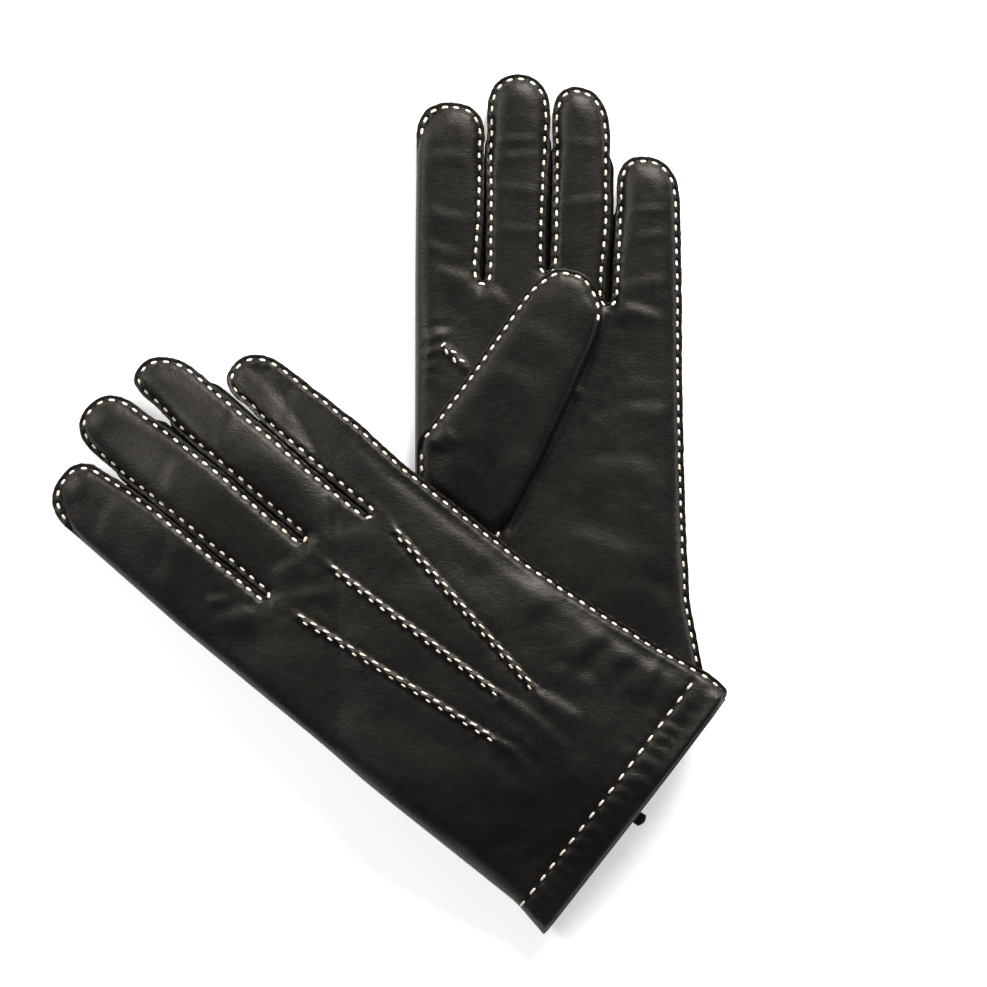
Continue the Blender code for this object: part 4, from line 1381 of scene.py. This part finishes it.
def soft_least(a, b, ease):
    """The lower of two heights, with the corner between them rounded."""
    near = np.maximum(ease - np.abs(a - b), 0.0) / ease
    return np.minimum(a, b) - near * near * ease / 4.0


class Thumb(Outline):
    """One thumb lying on its palm: an outline, a top and an underside."""

    def __init__(self, side):
        self.side = side
        self.palm = FACES[(side, True)]
        lines = [rounded(points, reach)[:-1] for points, _, reach in THUMB_RUNS]
        self.kind = np.repeat([kind for _, kind, _ in THUMB_RUNS], [len(line) for line in lines])
        self.edge = averaged(self.turned_to_side(np.vstack(lines)), 2, 2)
        self.trace()
        fold = np.array(FOLD[side])
        self.edge[:, 0] = np.maximum(self.edge[:, 0], np.interp(self.edge[:, 1], *fold.T[::-1]) + 0.5)
        palm, middle = self.palm.height(self.edge), self.middle(self.edge)
        cap_or_fold = [self.kind == CAP_KIND, self.kind == FOLD_KIND]
        upper = np.select(cap_or_fold, [middle + SEWN_HALF, palm + 1.0], palm + 0.75)
        lower = np.select(cap_or_fold, [middle - SEWN_HALF, palm + 0.35], palm + 0.4)
        swell = np.select(cap_or_fold, [6.5, 4.2], 13.0)
        fin = np.where(self.kind == FOLD_KIND, 0.0, FIN)
        self.upper, self.lower, self.swell, self.fin = averaged(np.c_[upper, lower, swell, fin], 5, 2).T
        self.sewn = np.clip(self.fin / FIN, 0.0, 1.0)
        self.rows = [self.dash_row(CAP_KIND, SEAM_PAST_TIP), self.dash_row(BASE_KIND, 0)]
        self.dashes = np.vstack([row[0] for row in self.rows])
        self.gaps = np.vstack([row[2] for row in self.rows])

    def dash_row(self, kind, beyond):
        """The dashes along one kind of edge and some steps beyond it."""
        at_kind = np.flatnonzero(self.kind == kind)
        at_kind = np.r_[at_kind, at_kind[-1] + 1 + np.arange(beyond)]
        row = self.edge[at_kind] + self.inward[at_kind] * STITCH_IN
        return dashes_on(row, STITCH_PITCH["left"], 0.6, 0.4)

    def turned_to_side(self, plan):
        """The left thumb's outline, moved to this glove's thumb."""
        a, b = (np.array(end) for end in THUMB_AXIS["left"])
        c, d = (np.array(end) for end in THUMB_AXIS[self.side])
        scale = complex(*(d - c)) / complex(*(b - a))
        moved = (plan[:, 0] - a[0] + 1j * (plan[:, 1] - a[1])) * scale + complex(*c)
        return np.c_[moved.real, moved.imag]

    def reach(self, plan):
        """Distance from the root towards the tip."""
        root, tip = THUMB_AXIS[self.side]
        return (plan - root) @ directions(root, tip)[0]

    def middle(self, plan):
        return HAND_THICK + lerp(0.9, 0.75 + THUMB_HALF_THICK, smooth((self.reach(plan) + 12.0) / 34.0))

    def ceiling(self, plan):
        """The most that this thumb may rise: the right glove lies on part of the left one's."""
        if self.side == "right":
            return np.full(len(plan), np.inf)
        over = FACES[("right", False)]
        there = unswung(plan)
        distance, _ = over.nearest(there)
        under_it = CEILING - PRESSED_BY * smooth(distance / 9.0)
        return np.where(inside(over.edge, there), under_it, CEILING + 0.9 * distance)

    def faces(self, plan):
        """Top and underside."""
        distance, step, share = self.rising(plan)
        middle = self.middle(plan)
        lumps = 1.3 * soft_field(turned(plan, 50.0), 22.0, 3, (1.0, 1.5)) + 0.4 * soft_field(plan, 8.0, 0)
        for start, end, amount, width, bow in THUMB_CREASES:
            lumps = lumps + crease(plan, start, end, amount, width, bow)
        full = middle + THUMB_HALF_THICK + lumps * smooth((distance - 1.0) / 5.0)
        top = lerp(self.upper[step], full, share) + self.sewing(plan, distance, step)
        palm = self.palm.height(plan)
        top = np.maximum(top, palm + 0.55 * smooth(distance / 1.5))
        top = soft_least(top, self.ceiling(plan), 2.5)
        under = lerp(self.lower[step], middle - THUMB_HALF_THICK, share)
        under = np.minimum(np.maximum(under, palm + 0.3), top - 0.25)
        return top, under

    def top(self, plan):
        return self.faces(np.atleast_2d(plan))[0]


THUMBS = {side: Thumb(side) for side in ("left", "right")}
print("thumb outlines:", {side: len(thumb.edge) for side, thumb in THUMBS.items()})

# %% [markdown]
# ## Thumb leather
# The thumb is a flat bag, so its top and underside share one triangulation and are joined by a strip
# of raw edge all round. Its seam goes on in a second row of dashes round its base, into the palm.

# %% Thumb leather and stitches
THUMB_RING_STEPS = (1,) * len(RINGS)
THUMB_DASH = (2.5, 0.56)


def thumb_leather(side):
    thumb = THUMBS[side]
    everything = np.vstack([thumb.edge] + rings_in(thumb, THUMB_RING_STEPS) + [comb_in(thumb, THUMB_CELL)])
    loop = loop_of(thumb.edge)
    plan, triangles = triangulated(everything, loop)
    top, under = thumb.faces(plan)
    points = np.vstack((laid(side, plan, top), laid(side, plan, under)))
    count = len(plan)
    faces = [tuple(t) for t in np.vstack((triangles, triangles[:, ::-1] + count))]
    quads = [(i, i + count, j + count, j) for i, j in loop]
    piece = mesh_object(side + "_thumb_leather", points, faces + quads, (NAPPA, RAW_EDGE))
    trimmed(piece, len(faces))
    turned_out(piece)
    fitted(piece, side, "thumb", side + "_thumb_stall")
    print(piece.name, len(points), "points")


for side in ("left", "right"):
    thumb_leather(side)
    thumb = THUMBS[side]
    rows = [capsules(middles, along, thumb.top, 1.0, *THUMB_DASH) for middles, along, _ in thumb.rows]
    made = stitch_piece(side + "_thumb_stitches", side, "thumb", rows, side + "_thumb_seam_thread")
    print(side, "thumb dashes:", made)

# %% [markdown]
# ## Cuffs
# At the cuff the leather is rolled inwards over a soft edge and carried up inside as a band, which the
# hem's stitches hold. A profile of the roll is swept along each face's cuff line. A bevel on the skin
# could round the edge, but it would leave no band to see inside the open cuff.

# %% Cuff roll
# forward of the cuff's edge, and depth below the outer surface
CUFF_PROFILE = ((0.0, 0.0), (-0.42, 0.25), (-0.6, 0.75), (-0.42, 1.25), (0.1, 1.5), (2.0, 1.75), (12.4, 2.0))
LEAST_OPEN = 0.12


def between_edges(side, v, share, fold_in, seam_in):
    """u at a share of the way from the fold to the side seam, kept in from both."""
    fold, seam = np.array(FOLD[side]), np.array(SEAM[side])[::-1]
    return lerp(np.interp(v, *fold.T[::-1]) + fold_in, np.interp(v, *seam.T[::-1]) - seam_in, share)


def cuff_roll(side):
    """The rolled edge and the band inside the cuff."""
    points, quads, count = [], [], 0
    for palm in (True, False):
        face = FACES[(side, palm)]
        out = 1.0 if palm else -1.0
        at = np.flatnonzero(face.kind == CUFF_KIND)
        edge = face.edge[np.r_[at, (at[-1] + 1) % len(face.edge)]]
        rim = face.height(edge)
        middle = middle_height(side, edge[:, 1]) + (0.0 if palm else back_arch(side, edge))
        share = (edge[:, 0] - edge[:, 0].min()) / np.ptp(edge[:, 0])
        rows = []
        for forward, depth in CUFF_PROFILE:
            v = edge[:, 1] + forward
            inset = min(depth, 1.4)
            plan = np.c_[between_edges(side, v, share, inset, inset + 1.0), v]
            w = (face.height(plan) if forward > 1.0 else rim) - out * depth
            rows.append(laid(side, plan, middle + out * np.maximum(out * (w - middle), LEAST_OPEN)))
        points.append(np.stack(rows, axis=1).reshape(-1, 3))
        quads += grid_quads(len(edge), len(CUFF_PROFILE), count)
        count += len(edge) * len(CUFF_PROFILE)
    piece = mesh_object(side + "_cuff_roll", np.vstack(points), quads, (NAPPA,))
    fitted(piece, side, -1, side + "_hem_turn_in")


for side in ("left", "right"):
    cuff_roll(side)
print("cuffs rolled, profile of", len(CUFF_PROFILE), "points")

# %% [markdown]
# ## Linings
# Above the cuff's band begins the lining, a fine grey knit that goes on into every finger. Only its
# mouth is seen, so its tubes are coarse grids, but each finger and thumb has its own, as the real
# lining is sewn. An offset copy of the leather would be much heavier and show no more.

# %% Lining tubes
HAND_KNIT_TOP = 140.0
HAND_KNIT_IN, FINGER_KNIT_IN, THUMB_KNIT_IN = 2.3, 1.6, 1.5
THUMB_KNIT_HALF = 10.0


def share_grid(rows, columns):
    """Shares 0 to 1 along a tube, and -1 to 1 across it."""
    return np.meshgrid(np.linspace(0.0, 1.0, rows), np.linspace(-1.0, 1.0, columns), indexing="ij")


def tip_narrowing(share):
    """How a lining tube narrows over its last quarter."""
    return np.sqrt(np.maximum(1.0 - np.maximum(share - 0.75, 0.0) ** 2 / 0.0667, 0.02))


def knit_tube(name, side, part, node, grid, levels):
    """A lining tube from its plan places and the heights of its two walls."""
    points = np.vstack([laid(side, grid.reshape(-1, 2), level) for level in levels])
    rows, columns = grid.shape[:2]
    quads = grid_quads(rows, columns)
    quads += [tuple(q + rows * columns for q in reversed(quad)) for quad in quads]
    fitted(mesh_object(name, points, quads, (KNIT,)), side, part, node)


def between_faces(side, grid, depth):
    """Heights of the two walls of a tube, inset by depth below both faces."""
    rows, columns = grid.shape[:2]
    flat = grid.reshape(-1, 2)
    along, across = (shares.reshape(-1) for shares in share_grid(rows, columns))
    middle = middle_height(side, flat[:, 1]) + back_arch(side, flat) * 0.5
    levels = []
    for palm in (True, False):
        out = 1.0 if palm else -1.0
        half = np.maximum(out * (FACES[(side, palm)].height(flat) - middle) - depth, LEAST_OPEN)
        half = half * np.sqrt(np.maximum(1.0 - across ** 6, 0.0)) * np.where(along > 0.999, 0.1, 1.0)
        levels.append(middle + out * half)
    return levels


def hand_grid(side):
    along, across = share_grid(24, 26)
    share = (across + 1.0) / 2.0
    low = cuff_line(side, lerp(FOLD[side][0][0], SEAM[side][-1][0], share)) + HEM - 1.5
    v = lerp(low, HAND_KNIT_TOP, along)
    return np.stack((between_edges(side, v, share, 3.2, 4.6), v), axis=-1)


def finger_grid(side, k):
    tongue = TONGUES[side][k]
    along, across = share_grid(16, 9)
    v = lerp(tongue["root_v"] + 1.0, tongue["tip"][1] - 5.0, along)
    span = (tongue["root_v"], tongue["left"][1])
    left = np.interp(v, span, (tongue["root"][0], tongue["left"][0]))
    right = np.interp(v, span, (tongue["root"][1], tongue["right"][0]))
    half = (right - left) / 2.0 - 4.0
    return np.stack(((left + right) / 2.0 + across * half * tip_narrowing(along), v), axis=-1)


def thumb_knit(side):
    root, tip = THUMB_AXIS[side]
    axis, left, length = directions(root, tip)
    along, across = share_grid(14, 11)
    reach, half = lerp(2.0, length - 7.0, along), THUMB_KNIT_HALF * tip_narrowing(along)
    grid = root + reach[..., None] * axis - (across * half)[..., None] * left
    top, under = THUMBS[side].faces(grid.reshape(-1, 2))
    middle, half_w = (top + under) / 2.0, np.maximum((top - under) / 2.0 - THUMB_KNIT_IN, 0.1)
    half_w *= np.sqrt(np.maximum(1.0 - across.reshape(-1) ** 4, 0.0))
    walls = (middle + half_w, middle - half_w)
    knit_tube(side + "_thumb_knit", side, "thumb", side + "_thumb_lining", grid, walls)


for side in ("left", "right"):
    grid = hand_grid(side)
    walls = between_faces(side, grid, HAND_KNIT_IN)
    knit_tube(side + "_hand_knit", side, -1, side + "_hand_lining", grid, walls)
    for k, finger in enumerate(FINGERS):
        grid = finger_grid(side, k)
        walls = between_faces(side, grid, FINGER_KNIT_IN)
        knit_tube(side + "_" + finger + "_knit", side, k, side + "_" + finger + "_lining", grid, walls)
    thumb_knit(side)
print("12 lining tubes made")

# %% [markdown]
# ## Vent bindings
# A dress glove has a short vent in the middle of the palm's cuff, bound with a folded strip of leather.
# All that shows is its end, a small dark tuft past the cuff's edge. Two flattened tubes laid one over
# the other make it: a single one would look like a peg.

# %% Vent binding
VENT_RINGS, VENT_SIDES = 22, 10
VENT_FROM, VENT_TO = 14.0, -4.6
VENT_LAPS = ((2.5, 0.0), (1.9, 0.8))  # half width and lift of each lap


def vent_binding(side):
    """A folded tab of leather that binds the little vent in the palm's hem, looped past the edge."""
    u = (FOLD[side][0][0] + SEAM[side][-1][0]) / 2.0
    low = float(cuff_line(side, u))
    run = np.linspace(0.0, 1.0, VENT_RINGS)
    v = low + lerp(VENT_FROM, VENT_TO, run)
    under = np.c_[np.full(VENT_RINGS, u), np.maximum(v, low + 0.4)]
    base = FACES[(side, True)].height(under) + 0.25
    points, quads = [], []
    for lap, (width, lift) in enumerate(VENT_LAPS):
        quads += barrel_quads(VENT_RINGS, VENT_SIDES, len(points))
        for i in range(VENT_RINGS):
            wave = 0.18 * math.sin(7.0 * run[i] + lap)
            end = 1.0 if 0 < i < VENT_RINGS - 1 else 0.25
            for angle in np.linspace(0.0, 2.0 * math.pi, VENT_SIDES, endpoint=False):
                x = width * math.cos(angle)
                w = base[i] + lift + wave * 0.5 + 0.5 * math.sin(angle) * end
                points.append(laid(side, [(u + x * end + wave, v[i])], w)[0])
    piece = mesh_object(side + "_vent_tab", points, quads, (NAPPA,))
    turned_out(piece)
    fitted(piece, side, -1, side + "_vent_binding")


for side in ("left", "right"):
    vent_binding(side)

# %% [markdown]
# ## Camera, light and floor
# The pair lies on a white table and is seen from straight above. Two soft windows, one at the upper
# right and one at the left, rake across black leather, because only slopes that face a light show.
# A strong overhead light would flatten every crease. The floor glows a little: painted light that lifts the
# gloves' shadows on it.

# %% Camera, light and floor
VIEW_CENTRE = (0.03815, 0.00485)
VIEW_WIDTH = 0.3622
DISTANCE, GLOVE_LEVEL = 1.6, 0.012
SENSOR = 36.0
DAYLIGHT = (1.0, 0.985, 0.96)
camera = bpy.data.objects.new("camera", bpy.data.cameras.new("camera"))
bpy.context.scene.collection.objects.link(camera)
camera.location = (*VIEW_CENTRE, DISTANCE + GLOVE_LEVEL)
camera.data.sensor_width = SENSOR
camera.data.lens = SENSOR * DISTANCE / VIEW_WIDTH
bpy.context.scene.camera = camera
bpy.context.scene.view_settings.view_transform = "Standard"


def lamp(name, place, size, watts):
    made = bpy.data.objects.new(name, bpy.data.lights.new(name, "AREA"))
    bpy.context.scene.collection.objects.link(made)
    made.location = place
    made.data.size = size
    made.data.energy = watts
    made.data.color = DAYLIGHT
    aim = Vector((*VIEW_CENTRE, 0.0)) - made.location
    made.rotation_euler = aim.to_track_quat("-Z", "Y").to_euler()


lamp("window", (0.38, 0.9, 0.6), 0.55, 31.0)
lamp("left_window", (-1.1, 0.5, 0.8), 0.6, 15.0)
world = bpy.context.scene.world or bpy.data.worlds.new("room")
bpy.context.scene.world = world
world.use_nodes = True
world.node_tree.nodes["Background"].inputs["Color"].default_value = (0.9, 0.92, 0.95, 1.0)
world.node_tree.nodes["Background"].inputs["Strength"].default_value = 0.2

pale = Finish("glowing_pale_floor")
tone = pale.node("ShaderNodeTexNoise", Vector=pale.place, Scale=3.0, Detail=3.0)
stops = ((0.2, (0.87, 0.87, 0.86)), (0.8, (0.90, 0.90, 0.89)))
# The emission is painted light: the floor's own glow lightens the shadows cast on it.
pale.set(Base_Color=pale.node("ShaderNodeValToRGB", {"stops": stops}, tone), Roughness=0.8,
         Emission_Color=(1.0, 1.0, 1.0, 1.0), Emission_Strength=0.5)
floor = mesh_object("floor", [(-3, -3, 0), (3, -3, 0), (3, 3, 0), (-3, 3, 0)], [(0, 1, 2, 3)], (pale.made,))
print("camera lens:", round(camera.data.lens, 1), "mm")
